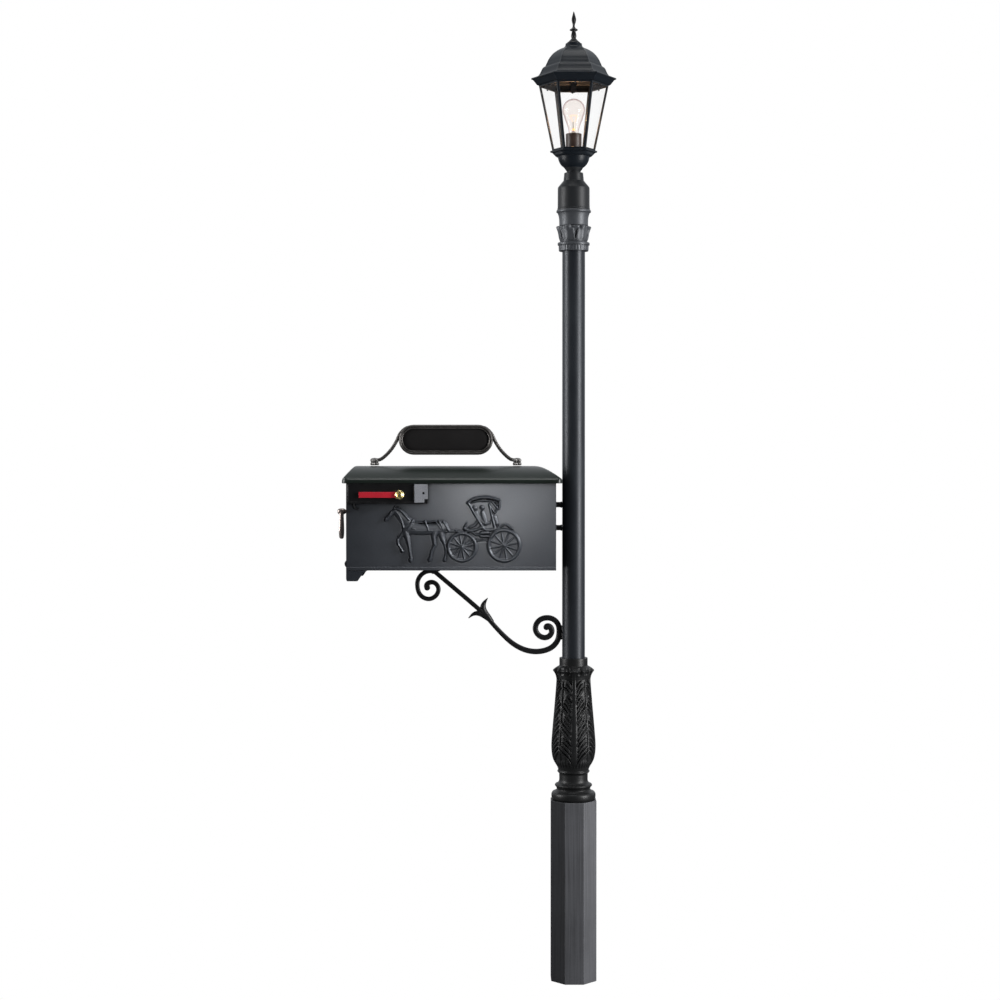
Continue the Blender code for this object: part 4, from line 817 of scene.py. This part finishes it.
def relief_height(u, v):
    """The horse and carriage, in mm of height, over mm from the panel's front edge and from its base."""
    height = np.zeros(u.shape)

    def ridge(points, widths, top, steps=6):
        np.maximum(height, top * stroke(u, v, points, widths, steps), out=height)

    def wheel(cu, cv, radius, rim, spokes):
        distance = np.hypot(u - cu, v - cv)
        np.maximum(height, 0.7 * (distance < radius), out=height)
        np.maximum(height, 3.2 * dome(distance - radius, rim), out=height)
        for spoke in range(spokes):
            angle = 2 * math.pi * (spoke + 0.35) / spokes
            end = (cu + radius * math.cos(angle), cv + radius * math.sin(angle))
            ridge([(cu, cv), end], (2.3, 1.5), 2.2, 1)
        np.maximum(height, 3.0 * dome(distance, 7.5), out=height)
        np.maximum(height, 3.8 * dome(distance, 3.5) ** 0.5, out=height)

    # Shaft, carriage springs and perch
    ridge([(150, 96), (200, 97), (262, 101), (304, 101)], 2.0, 2.0)
    ridge([(302, 61), (330, 76), (372, 78), (408, 66)], 2.2, 1.8)
    ridge([(284, 104), (300, 98), (322, 102), (338, 92), (350, 96)], 2.2, 2.4)
    ridge([(378, 108), (396, 113), (414, 118), (432, 108)], 2.0, 2.4)
    ridge([(382, 100), (400, 108), (420, 104)], 1.8, 2.0)
    # Wheels
    wheel(300.5, 61, 35.5, 4.0, 12)
    wheel(409.5, 65, 40.0, 4.2, 12)
    # Body: a tapering shell with a raised rim, its seat and its step
    front, back = ((318, 174), (336, 142), (356, 110)), ((371, 172), (377, 146), (386, 110))
    left = np.interp(v, (110, 142, 174), (356, 336, 318))
    right = np.interp(v, (110, 146, 172), (386, 377, 371))
    inside = (u > left) & (u < right) & (v > 106) & (v < 178)
    np.maximum(height, 0.6 * inside, out=height)
    ridge(front, (2.6, 2.8, 3.4), 3.4, 4)
    ridge(back, (2.2, 2.4, 3.2), 3.2, 4)
    ridge([(352, 110), (368, 105), (392, 109), (398, 116)], (3.2, 4.0, 4.0, 2.6), 3.0)
    ridge([(376, 130), (384, 140), (390, 122)], (2.0, 4.5, 4.0), 2.2)
    ridge([(374, 168), (386, 150), (394, 172)], (1.6, 2.0, 2.0), 1.8)
    ridge([(380, 176), (396, 160), (398, 178)], (2.0, 2.2, 2.4), 2.4)
    ridge([(314, 175), (328, 184), (350, 189), (378, 188), (398, 182)], (2.6, 3.2, 3.4, 3.2, 2.6), 3.6)
    ridge([(322, 175), (346, 181), (372, 181), (392, 176)], (1.6, 2.4, 2.4, 1.6), 2.0)
    # Two seated travellers, kept to plain rounded masses
    ridge([(333, 163), (334, 162)], 5.4, 3.0, 1)
    ridge([(336, 152), (342, 140), (350, 128)], (4.6, 6.0, 4.6), 2.8)
    ridge([(352, 164), (353, 163)], 5.6, 3.2, 1)
    ridge([(353, 152), (357, 138), (362, 122)], (5.0, 6.6, 5.6), 3.0)
    ridge([(350, 128), (360, 122), (372, 124)], (3.0, 4.0, 3.0), 2.6)
    ridge([(351, 98), (368, 98)], 4.2, 2.6, 1)
    ridge([(349, 89), (370, 89)], 3.6, 3.0, 1)
    ridge([(307, 110), (312, 124)], (2.2, 1.6), 2.4, 1)
    ridge([(306, 109), (320, 104), (338, 106), (350, 112)], (3.4, 3.0, 3.0, 3.0), 2.8)
    ridge([(320, 112), (334, 118), (340, 128)], (2.0, 3.4, 2.0), 2.0)
    # Far legs of the horse first, then its body and its near legs
    ridge([(152, 100), (143, 90), (134, 79)], (6.0, 5.0, 4.0), 1.8)
    ridge([(134, 79), (136, 68), (144, 55)], (4.0, 3.0, 2.8), 2.8)
    ridge([(144, 54), (146, 50)], (3.4, 4.0), 3.0, 1)
    ridge([(246, 104), (249, 86), (256, 68)], (10.0, 6.4, 3.6), 2.8)
    ridge([(256, 68), (259, 50), (257, 34)], (3.6, 2.8, 2.6), 2.6)
    ridge([(257, 33), (255, 27)], (3.0, 4.2), 2.8, 1)
    ridge([(164, 112), (190, 108), (220, 108), (248, 112)], (17, 15.0, 14.5, 17), 3.6)
    ridge([(160, 112), (166, 118), (150, 133), (130, 152)], (15, 16, 12.5, 7.5), 3.3)
    ridge([(127, 155), (117, 147), (105, 133)], (7.5, 5.6, 4.0), 3.2)
    ridge([(104, 135), (103, 131)], (4.2, 3.6), 3.4, 1)
    ridge([(126, 160), (127, 167)], (2.2, 1.0), 3.0, 1)
    ridge([(131, 161), (141, 156), (152, 145), (163, 132)], (3.2, 3.8, 3.6, 3.0), 4.6)
    ridge([(129, 153), (139, 140), (146, 124), (149, 111)], (1.8, 2.2, 2.2, 2.0), 4.2)
    ridge([(154, 102), (159, 84), (163, 66)], (9.0, 6.2, 4.2), 3.4)
    ridge([(163, 66), (166, 46), (168, 33)], (4.0, 3.0, 2.8), 3.4)
    ridge([(168, 32), (167, 26)], (3.2, 4.4), 3.4, 1)
    ridge([(233, 106), (228, 88), (230, 66)], (12, 7.0, 3.8), 3.6)
    ridge([(230, 66), (222, 50), (219, 34)], (3.8, 3.0, 2.8), 3.2)
    ridge([(219, 33), (216, 27)], (3.2, 4.4), 3.2, 1)
    # Harness: collar, girth, saddle pad, breeching straps and bridle
    ridge([(173, 131), (167, 118), (158, 104)], (2.0, 2.6, 2.0), 4.4)
    ridge([(205, 127), (210, 116), (214, 103)], (3.0, 2.6, 2.4), 4.4)
    ridge([(233, 127), (240, 117), (247, 107)], (1.8, 2.2, 1.8), 4.5)
    ridge([(241, 128), (247, 118), (251, 106)], (2.0, 2.4, 2.0), 4.5)
    ridge([(252, 127), (259, 117), (266, 104)], (2.4, 2.8, 3.2), 4.3)
    ridge([(172, 109), (180, 107)], (2.8, 2.4), 4.4, 1)
    ridge([(172, 126), (200, 125), (232, 127)], 1.2, 4.0)
    ridge([(164, 104), (200, 103), (246, 104)], 1.2, 4.1)
    ridge([(118, 155), (113, 141)], 1.1, 3.9, 1)
    return height


def smoothed(grid, passes):
    """The grid blurred by a few passes of a small kernel, as a sand casting softens its pattern."""
    for _ in range(passes):
        for axis in (0, 1):
            grid = (np.roll(grid, 1, axis) + 2 * grid + np.roll(grid, -1, axis)) / 4
    return grid


def build_side_panels():
    """The cast sides, with the ledge along their foot and the relief, which faces the door on both."""
    low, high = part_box("side_panel_near")
    inner = high.y
    flat = low.y + 0.0015
    edge = 0.0012
    xs = spaced(
        (low.x, low.x + 0.002, 0.0003),
        (low.x + 0.002, low.x + RELIEF_FRONT, PLAIN_STEP),
        (low.x + RELIEF_FRONT, low.x + RELIEF_REAR, RELIEF_STEP),
        (low.x + RELIEF_REAR, high.x - 0.002, PLAIN_STEP),
        (high.x - 0.002, high.x, 0.0003),
    )
    zs = spaced(
        (low.z, low.z + 0.010, 0.0005),
        (low.z + 0.010, low.z + RELIEF_FOOT, 0.002),
        (low.z + RELIEF_FOOT, low.z + RELIEF_TOP, RELIEF_STEP),
        (low.z + RELIEF_TOP, high.z, PLAIN_STEP),
    )
    u, v = np.meshgrid((xs - low.x) * 1000, (zs - low.z) * 1000)
    pattern = relief_height(u, v)
    raised = (pattern > 0).astype(float)
    trench = smoothed(raised, 5) * (1 - raised) * TRENCH_DEPTH * 2
    relief = smoothed(pattern * RELIEF_DEPTH - trench, 1)
    ledge = 1.5 * (1 - step_up(v, 7.2, 9.4)) - 0.7 * np.clip(1 - v / 0.8, 0, 1)
    length = (high.x - low.x) * 1000
    inset = np.minimum(u, length - u) / (edge * 1000)
    corner = edge * 1000 * (1 - dome(np.clip(1 - inset, 0, 1), 1.0))
    y = flat - (relief + ledge - corner) * MM
    front = np.stack([u * MM + low.x, y, v * MM + low.z], 2)
    points, faces = skin(front, wrap_columns=False, capped=False)
    rim = rim_of(y.shape)
    back = points[rim]
    back[:, 1] = inner
    back_rim = list(range(len(points), len(points) + len(rim)))
    near = (np.vstack([points, back]), [*faces, *bridged(rim, back_rim), back_rim])
    for side, shape in (("near", near), ("far", mirrored(near, 1))):
        panel = f"side_panel_{side}"
        stand_in(f"side_relief_{side}", shape, panel, material=PANEL_COAT, crease=math.radians(50))


def build_hood():
    """The domed hood with its rounded lip."""
    low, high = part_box("hood")
    lip, ridge = low.z + 0.010, high.z
    bull, corner, wall, inset = 0.0016, 0.014, 0.0035, 0.017
    x0, x1, half = low.x + bull, high.x - bull, high.y - bull
    front_rise, rear_rise, soft = 0.028, 0.0745, 26.0
    under_edge = low.z + 0.004

    def height(x, y):
        across = np.abs(y) / high.y
        arch = 1 - 0.55 * across**2 - 0.45 * across**4
        front = np.clip((x - low.x) / front_rise, 0, 1)
        rear = np.clip((high.x - x) / rear_rise, 0, 1)
        rear = 1 - (1 - rear) ** 1.7
        blend = -np.log(np.exp(-soft * arch) + np.exp(-soft * front) + np.exp(-soft * rear)) / soft
        return lip + (ridge - lip) * np.clip(blend, 0, 1)

    def core(x, y):
        """The nearest place in the rectangle between the centres of the rounded corners."""
        return np.clip(x, x0 + corner, x1 - corner), np.clip(y, -half + corner, half - corner)

    xs = spaced((x0, x0 + 0.040, 0.0025), (x0 + 0.040, x1 - 0.080, 0.008), (x1 - 0.080, x1, 0.003))
    ys = spaced((-half, -half + 0.03, 0.003), (-half + 0.03, half - 0.03, 0.006), (half - 0.03, half, 0.003))
    x, y = np.meshgrid(xs, ys, indexing="ij")
    core_x, core_y = core(x, y)
    share = np.minimum(1, corner / np.maximum(np.hypot(x - core_x, y - core_y), 1e-9))
    x, y = core_x + (x - core_x) * share, core_y + (y - core_y) * share
    points, faces = skin(np.stack([x, y, height(x, y)], 2), wrap_columns=False, capped=False)
    rim = rim_of(x.shape)
    edge = points[rim]
    outward = edge[:, :2] - np.stack(core(*edge[:, :2].T), 1)
    outward /= np.linalg.norm(outward, axis=1, keepdims=True)
    band = arc((0.0, lip - bull), bull, 90, 0, 5)[1:]
    foot = arc((0.0, low.z + bull), bull, 0, -90, 4)
    rows, start, before = [points], len(points), rim
    for offset, z in [*band, *foot, (-inset, low.z), (-inset, under_edge)]:
        rows.append(np.column_stack([edge[:, :2] + outward * offset, np.full(len(rim), z)]))
        after = list(range(start, start + len(rim)))
        start += len(rim)
        faces += bridged(before, after)
        before = after
    inner_x = x0 + inset + (x - x0) * (x1 - x0 - 2 * inset) / (x1 - x0)
    inner_y = y * (half - inset) / half
    lid = np.maximum(height(inner_x, inner_y) - wall, under_edge)
    under, under_faces = skin(np.stack([inner_x, inner_y, lid], 2), wrap_columns=False, capped=False)
    faces += [[start + point for point in face] for face in under_faces]
    faces += bridged(before, [start + point for point in rim])
    stand_in("hood_casting", (np.vstack([*rows, under]), faces), "hood", crease=math.radians(50))


def build_door_details():
    """A raised moulding round the door's face."""
    low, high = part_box("door")
    face = low.x
    inset, corner = 0.012, 0.012
    y1, z0, z1 = high.y - inset, low.z + 0.018 + inset, high.z - inset
    path = []
    for cy, cz, start in ((1, 1, 0), (-1, 1, 90), (-1, -1, 180), (1, -1, 270)):
        centre = (cy * (y1 - corner), (z1 if cz > 0 else z0) - cz * corner)
        path.append(arc(centre, corner, start, start + 90, 6))
    path = np.vstack(path)
    path = np.stack([np.full(len(path), face), path[:, 0], path[:, 1]], 1)
    moulding = swept(path, (1, 0, 0), oval(0.0026, 0.0013), loop=True)
    made("door_moulding", moulding, LOOKS["charcoal_coat"], "front_door", "charcoal_coat")


def build_pull():
    """The turned boss on the door, and the drop pull with its two hubs on the pin."""
    low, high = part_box("door_pull_pin")
    x, z = (low.x + high.x) / 2, (low.z + high.z) / 2
    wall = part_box("door_pull_boss")[1].x
    profile = runs(
        [(0, 0), (0.0110, 0)],
        [(0.0112, 0.0012), (0.0104, 0.0026), (0.0070, 0.0034), (0.0047, 0.0050)],
        [(0.0044, 0.0085), (0.0062, 0.0118), (0.0078, 0.0150), (0.0080, 0.0190)]
        + [(0.0080, 0.0235), (0.0068, 0.0285), (0.0040, 0.0310), (0, 0.0318)],
    )
    stand_in("pull_boss", laid(lathe(profile, 48), (wall, 0, z), (-1, 0, 0)), "door_pull_boss")

    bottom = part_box("door_pull_drop")[0].z + 0.0045
    side = [(0.0122, z - 0.004), (0.0135, z - 0.014), (0.0190, z - 0.030), (0.0232, z - 0.045)]
    side += [(0.0215, z - 0.056), (0.0130, bottom + 0.0035), (0.0040, bottom + 0.0005)]
    loop = [*side, (0, bottom)] + [(-y, height) for y, height in side[::-1]]
    path = curve_through(loop, 8)
    path = np.stack([np.full(len(path), x), path[:, 0], path[:, 1]], 1)
    bar = swept(path, (1, 0, 0), oval(0.0046, 0.0060), lambda t: 0.98 - 0.20 * abs(2 * t - 1) ** 0.8)
    shapes = [bar]
    for sign in (-1, 1):
        shapes.append(rod((x, sign * 0.0084, z), (x, sign * 0.0145, z), 0.0060, 0.0012))
    drip = curve_through([(0, 0.003), (0.0030, 0.002), (0.0036, -0.0004), (0.0022, -0.0030), (0, -0.0045)], 5)
    shapes.append(laid(lathe(drip, 24), (x, 0, bottom)))
    stand_in("pull_drop", joined(*shapes), "door_pull_drop")


def build_flag():
    """The knob's turned face, and a rib round the flag plate."""
    low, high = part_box("flag_knob")
    x, z = (low.x + high.x) / 2, (low.z + high.z) / 2
    radius = (high.x - low.x) / 2
    profile = runs(
        [(PIN_BORE, 0), (radius, 0)],
        [(radius, 0.0022), (radius - 0.0008, 0.0032)],
        [(0.0105, 0.0052), (0.0090, 0.0058), (0.0076, 0.0050), (0.0068, 0.0036)],
        [(0.0055, 0.0040), (0.0048, 0.0050), (PIN_BORE, 0.0052)],
    )

    def knurled(angles, radii, heights):
        rim = (radii > radius - 0.001) & (heights < 0.0030)
        return radii - 0.0004 * rim * (0.5 - 0.5 * np.cos(angles * 24))

    shape = laid(lathe(profile, 144, knurled, loop=True), (x, high.y, z), (0, -1, 0))
    stand_in("flag_knob_skin", shape, "flag_knob")

    low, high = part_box("flag_plate")
    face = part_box("flag_stop_block")[1].y + 0.0003
    inset, stop = 0.0030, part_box("flag_stop_block")[0].x - 0.002
    corners = [(low.x + inset, low.z + inset), (stop, low.z + inset)]
    corners += [(stop, high.z - inset), (low.x + inset, high.z - inset)]
    path = in_xz(corners, face)
    dense = np.vstack([np.linspace(a, b, 12, endpoint=False) for a, b in zip(path, np.roll(path, -1, 0))])
    rib = swept(dense, (0, 1, 0), oval(0.0014, 0.0010, count=12), loop=True)
    made("flag_plate_rib", rib, LOOKS["gloss_black"], "post_and_box", "gloss_black")


# Topper


def stadium(centre, reach, radius, steps=16):
    """A closed stadium outline in a plane."""
    left = arc((centre[0] - reach, centre[1]), radius, 90, 270, steps)
    right = arc((centre[0] + reach, centre[1]), radius, -90, 90, steps)
    return np.vstack([left, right])


LEG_LINE = (
    (0, 1.3780), (0.0100, 1.3808), (0.0225, 1.3905), (0.0380, 1.4075), (0.0505, 1.4275),
    (0.0605, 1.4480), (0.0760, 1.4625), (0.0960, 1.4672), (0.1150, 1.4674),
)


def build_topper():
    """The plaque's rim on two ridged legs, with a rosette under each."""
    low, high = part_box("plaque_panel")
    centre = ((low.x + high.x) / 2, (low.z + high.z) / 2)
    inner = (high.z - low.z) / 2
    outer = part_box("topper_frame")[1].z - centre[1]
    reach = (high.x - low.x) / 2 - inner

    def ring(radius, section, y=0.0):
        """A closed bar round the plaque, at this distance from its middle line."""
        line = stadium(centre, reach, radius)
        half = len(line) // 2
        over = np.linspace(line[-1], line[0], 10)[1:-1]
        under = np.linspace(line[half - 1], line[half], 10)[1:-1]
        line = np.vstack([line[:half], under, line[half:], over])
        return swept(in_xz(line, y), (0, 1, 0), section, loop=True)

    def ridged(share):
        return (1 + 0.05 * math.sin(share * 150)) * (1 - 0.5 * step_up(share, 0.75, 1.0))

    web = ring((inner + outer) / 2, oval((outer - inner) / 2 - 0.0003, 0.0056, 6.0, 24))
    shapes = [web, ring(outer - 0.0040, oval(0.0040, 0.0080, 2.3, 24))]
    shapes += [ring(inner + 0.0013, oval(0.0014, 0.0016, count=12), y) for y in (-0.0064, 0.0064)]
    for foot_name in ("topper_foot_front", "topper_foot_rear"):
        foot_low, foot_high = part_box(foot_name)
        foot_x = (foot_low.x + foot_high.x) / 2
        side = 1 if foot_x < centre[0] else -1
        edge = foot_x + side * 0.0073
        leg = curve_through([(edge + side * out, z) for out, z in LEG_LINE], 9)
        shapes.append(swept(in_xz(leg), (0, 1, 0), oval(0.0046, 0.0046), ridged))
        build_foot(foot_name, foot_x, foot_low.z)
    stand_in("topper_rim", joined(*shapes), "topper_frame")
    panel_half = (high.y - low.y) / 2
    crown = [(inner + 0.0003, 0.0), (inner, panel_half - 0.0010), (inner - 0.002, panel_half)]
    crown.append((0.6 * inner, panel_half + 0.0006))
    levels = [(radius, -y) for radius, y in crown[::-1]] + crown[1:]
    rows = [in_xz(stadium(centre, reach, radius), y) for radius, y in levels]
    stand_in("plaque_field", skin(np.array(rows)), "plaque_panel", material=PLAQUE_COAT)


def build_foot(name, x, base):
    """A lumpy cast rosette in two tiers on the ridge, which a leg springs from."""
    profile = runs(
        [(0, base), (0.0108, base)],
        [(0.0124, base + 0.0030), (0.0116, base + 0.0062), (0.0096, base + 0.0082)],
        [(0.0112, base + 0.0108), (0.0120, base + 0.0136), (0.0108, base + 0.0165)],
        [(0.0070, base + 0.0188), (0, base + 0.0200)],
    )

    def lobed(angles, radii, heights):
        lobes = 0.5 - 0.5 * np.cos(angles * 7 + 1.0 * (heights > base + 0.0082))
        return radii * (1 - 0.20 * lobes)

    points, faces = lathe(profile, 84, lobed)
    stand_in(f"{name}_rosette", (points + np.array((x, 0, 0)), faces), name, material=FOOT_METAL)


# Bracket


def spiral(centre, start, radii, steps=14):
    """A scroll's centre line in a plane, from its radii at each quarter turn after start, in degrees."""
    quarters = np.arange(len(radii))
    at = np.linspace(0, len(radii) - 1, steps * (len(radii) - 1) + 1)
    radius = np.interp(at, quarters, radii)
    angle = np.radians(start + 90 * at)
    return np.stack([centre[0] + radius * np.cos(angle), centre[1] + radius * np.sin(angle)], 1)


def build_bracket():
    """The scroll under the box: a flattened bar with swollen eyes and a calyx of two curled leaves."""
    under_box = spiral((-0.383, 1.040), 90, (0.0460, 0.0305, 0.0310, 0.0250, 0.0130, 0.0050))
    beside_post = spiral((-0.072, 0.931), 0, (0.0352, 0.0290, 0.0300, 0.0240, 0.0130, 0.0040))
    middle = [(-0.3705, 1.0842), (-0.357, 1.073), (-0.257, 0.988), (-0.230, 0.962), (-0.203, 0.931)]
    middle += [(-0.166, 0.895), (-0.130, 0.875), (-0.095, 0.870), (-0.063, 0.878), (-0.044, 0.896)]
    middle = curve_through([*middle, (-0.0375, 0.916)], 8)
    line = np.vstack([under_box[::-1], middle, beside_post])
    steps = np.linalg.norm(np.diff(line, axis=0), axis=1)
    line = line[np.append(True, steps > 1e-5)]
    length = np.append(0, np.cumsum(np.linalg.norm(np.diff(line, axis=0), axis=1)))
    length /= length[-1]
    for _ in range(6):
        line[1:-1] = (line[:-2] + 2 * line[1:-1] + line[2:]) / 4

    def size(share):
        at = np.interp(share, np.linspace(0, 1, len(length)), length)
        blob = math.exp(-((min(at, 1 - at) / 0.020) ** 2))
        return 0.98 + 0.25 * blob + 0.20 * step_up(at, 0.50, 0.66)

    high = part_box("scroll_bracket")[1]
    half, depth = 0.0062, high.y
    shapes = [swept(in_xz(line), (0, 1, 0), oval(half, depth, 2.8, 24), size)]
    for end in (line[0], line[-1]):
        shapes.append(rod((end[0], -0.0078, end[1]), (end[0], 0.0078, end[1]), 0.0078, 0.0035))
    screws = ("bracket_box_screw", "bracket_post_screw")
    box_screw, post_screw = ((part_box(name)[0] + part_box(name)[1]) / 2 for name in screws)
    pad_levels = ((0.93, 0.0), (1.0, 0.0008), (1.0, 0.0068), (0.86, 0.0095))
    pad = oval(0.0200, depth, 8.0, 40)
    under_pad, post_pad = [], []
    for scale, drop in pad_levels:
        along, across = pad.T * scale
        under_pad.append(np.stack([box_screw.x + along, across, high.z - drop + 0 * along], 1))
        post_pad.append(np.stack([high.x - drop + 0 * along, across, post_screw.z + 0.95 * along], 1))
    shapes += [skin(under_pad), skin(post_pad)]
    blades = (
        [
            (-0.2150, 0.9480, 5.6), (-0.2255, 0.9610, 7.6), (-0.2365, 0.9755, 8.6), (-0.2400, 0.9880, 7.8),
            (-0.2365, 1.0000, 5.0), (-0.2275, 1.0125, 0.8),
        ],
        [
            (-0.2150, 0.9480, 5.6), (-0.2270, 0.9590, 7.6), (-0.2410, 0.9685, 8.0), (-0.2540, 0.9720, 6.8),
            (-0.2665, 0.9690, 4.4), (-0.2785, 0.9590, 1.0),
        ],
    )
    for blade in blades:
        table = curve_through(blade, 8)
        widths = table[:, 2] * MM

        def swell(share):
            width = np.interp(share, np.linspace(0, 1, len(widths)), widths)
            return width, depth * (0.55 + 0.45 * math.sin(math.pi * min(1.0, 0.25 + share * 0.75)))

        shapes.append(swept(in_xz(table[:, :2]), (0, 1, 0), oval(1.0, 1.0, 1.6, 24), swell))
    stand_in("scroll_casting", joined(*shapes), "scroll_bracket", crease=math.radians(50))
    for name in ("upper_spacer", "lower_spacer"):
        low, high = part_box(name)
        z, radius = (low.z + high.z) / 2, (high.z - low.z) / 2
        neck, length = radius - 0.0012, high.x - low.x
        profile = runs(
            [(PIN_BORE, 0), (radius, 0)],
            [(radius, 0.003), (neck, 0.0042)],
            [(neck, length - 0.0042)],
            [(radius, length - 0.003), (radius, length)],
            [(PIN_BORE, length)],
        )
        stand_in(f"{name}_skin", laid(lathe(profile, 40, loop=True), (low.x, 0, z), (1, 0, 0)), name)


# Studio


def white_to_camera(tree, kind, otherwise):
    """Plain white of this kind for the camera, and the other shader for every other ray."""
    white = node(tree, kind, {"Color": (1, 1, 1, 1), "Strength": 1.0}).outputs[0]
    seen = node(tree, "LightPath").outputs["Is Camera Ray"]
    return node(tree, "MixShader", {0: seen, 1: otherwise, 2: white}).outputs[0]


def build_world():
    """White behind the object for the camera, and for the lighting a dim room with a bright far side."""
    world = bpy.data.worlds.new("studio")
    bpy.context.scene.world = world
    world.use_nodes = True
    tree = world.node_tree
    tree.nodes.clear()
    towards = node(tree, "SeparateXYZ", {0: node(tree, "TexCoord").outputs["Generated"]}).outputs["Y"]
    lit = mapped(tree, towards, -0.15, 0.7, 0.12, 0.75)
    room = node(tree, "Background", {"Color": (0.93, 0.96, 1.0, 1), "Strength": lit}).outputs[0]
    node(tree, "OutputWorld", {"Surface": white_to_camera(tree, "Background", room)})


def build_floor():
    """A grey floor that the camera sees as plain white."""
    mesh = bpy.data.meshes.new("studio_floor")
    points, faces = lathe([(0.0001, 0), (0.5, 0), (2.0, 0), (8.0, 0), (60.0, 0)], 64, loop=False)
    points[:, 2] = -0.0005
    mesh.from_pydata(points.tolist(), [], faces[:-1])
    floor = bpy.data.objects.new("studio_floor", mesh)
    bpy.context.scene.collection.objects.link(floor)
    material, tree, shader = new_material("studio_floor")[:3]
    tree.nodes.remove(shader)
    matt = node(tree, "BsdfDiffuse", {"Color": (0.14, 0.14, 0.14, 1)}).outputs[0]
    both = white_to_camera(tree, "Emission", matt)
    tree.links.new(both, tree.nodes["Material Output"].inputs["Surface"])
    mesh.materials.append(material)


def link_light(lamp, names, state):
    """The lamp lights only the named pieces, with INCLUDE, or all but them, with EXCLUDE."""
    group = bpy.data.collections.new(f"{lamp.name}_{state.lower()}")
    for name in names:
        group.objects.link(NODES[name] if name in NODES else bpy.data.objects[name])
    for entry in group.collection_objects:
        entry.light_linking.link_state = state
    lamp.light_linking.receiver_collection = group


def softbox(name, centre, aim, width, height, power, colour=(1, 1, 1)):
    """An area light that the camera doesn't see, aimed at a point."""
    data = bpy.data.lights.new(name, "AREA")
    data.shape = "RECTANGLE"
    data.size, data.size_y = width, height
    data.energy = power
    data.color = colour
    lamp = bpy.data.objects.new(name, data)
    lamp.location = centre
    lamp.rotation_euler = (Vector(aim) - Vector(centre)).to_track_quat("-Z", "Y").to_euler()
    lamp.visible_camera = False
    bpy.context.scene.collection.objects.link(lamp)
    return lamp


def build_lights():
    box_pieces = ["side_relief_near", "front_frame", "flag_knob_skin", "door", "pull_drop", "pull_boss"]
    left = softbox("left_strip", (-3.6, -0.5, 1.9), (0, 0, 1.7), 0.9, 2.6, 135)
    link_light(left, ["base_sleeve", "side_relief_near", "side_relief_far"], "EXCLUDE")
    right = softbox("right_strip", (3.1, -1.75, 1.7), (0, 0, 1.5), 1.0, 3.2, 215)
    link_light(right, ["side_relief_near"], "EXCLUDE")
    softbox("top_panel", (-0.2, -0.6, 4.6), (-0.2, 0, 1.4), 1.6, 1.6, 38)
    front = softbox("box_front", (-0.21, -0.60, 1.30), (-0.2, -0.115, 1.2), 0.20, 0.20, 2.4)
    link_light(front, box_pieces, "INCLUDE")
    rake = softbox("relief_rake", (4.4, -1.2, 3.2), (-0.25, -0.115, 1.2), 0.4, 0.4, 500, (0.94, 0.96, 1.0))
    link_light(rake, ["side_relief_near"], "INCLUDE")
    for name, x, power in (("sleeve_right", 1.6, 30), ("sleeve_left", -1.8, 7)):
        sleeve = softbox(name, (x, -1.0, 0.95), (0, 0, 0.45), 0.5, 0.8, power)
        link_light(sleeve, ["base_sleeve"], "INCLUDE")
    data = bpy.data.lights.new("bulb_light", "POINT")
    data.energy, data.color, data.shadow_soft_size = 2.2, (1.0, 0.55, 0.28), 0.01
    glow = bpy.data.objects.new("bulb_light", data)
    glow.location = (0, 0, 2.290)
    bpy.context.scene.collection.objects.link(glow)
    link_light(glow, ["lantern_cage", "roof_casting", "bowl_skin", "socket_sleeve_skin"], "INCLUDE")


def build_camera():
    data = bpy.data.cameras.new("camera")
    data.lens, data.sensor_width, data.shift_y = 69.18, 36.0, -0.04
    camera = bpy.data.objects.new("camera", data)
    camera.location = (-0.195, -5.093, 1.4308)
    camera.rotation_euler = (math.radians(89.41), 0, 0)
    bpy.context.scene.collection.objects.link(camera)
    bpy.context.scene.camera = camera
    bpy.context.scene.view_settings.view_transform = "Standard"


build_camera()
keep_cad_nodes()
build_post()
build_leaf_base()
build_capital()
build_fitter()
build_bowl()
build_roof()
build_finial()
build_lamp()
build_pane_screws()
build_side_panels()
build_hood()
build_door_details()
build_pull()
build_flag()
build_topper()
build_bracket()
build_world()
build_floor()
build_lights()
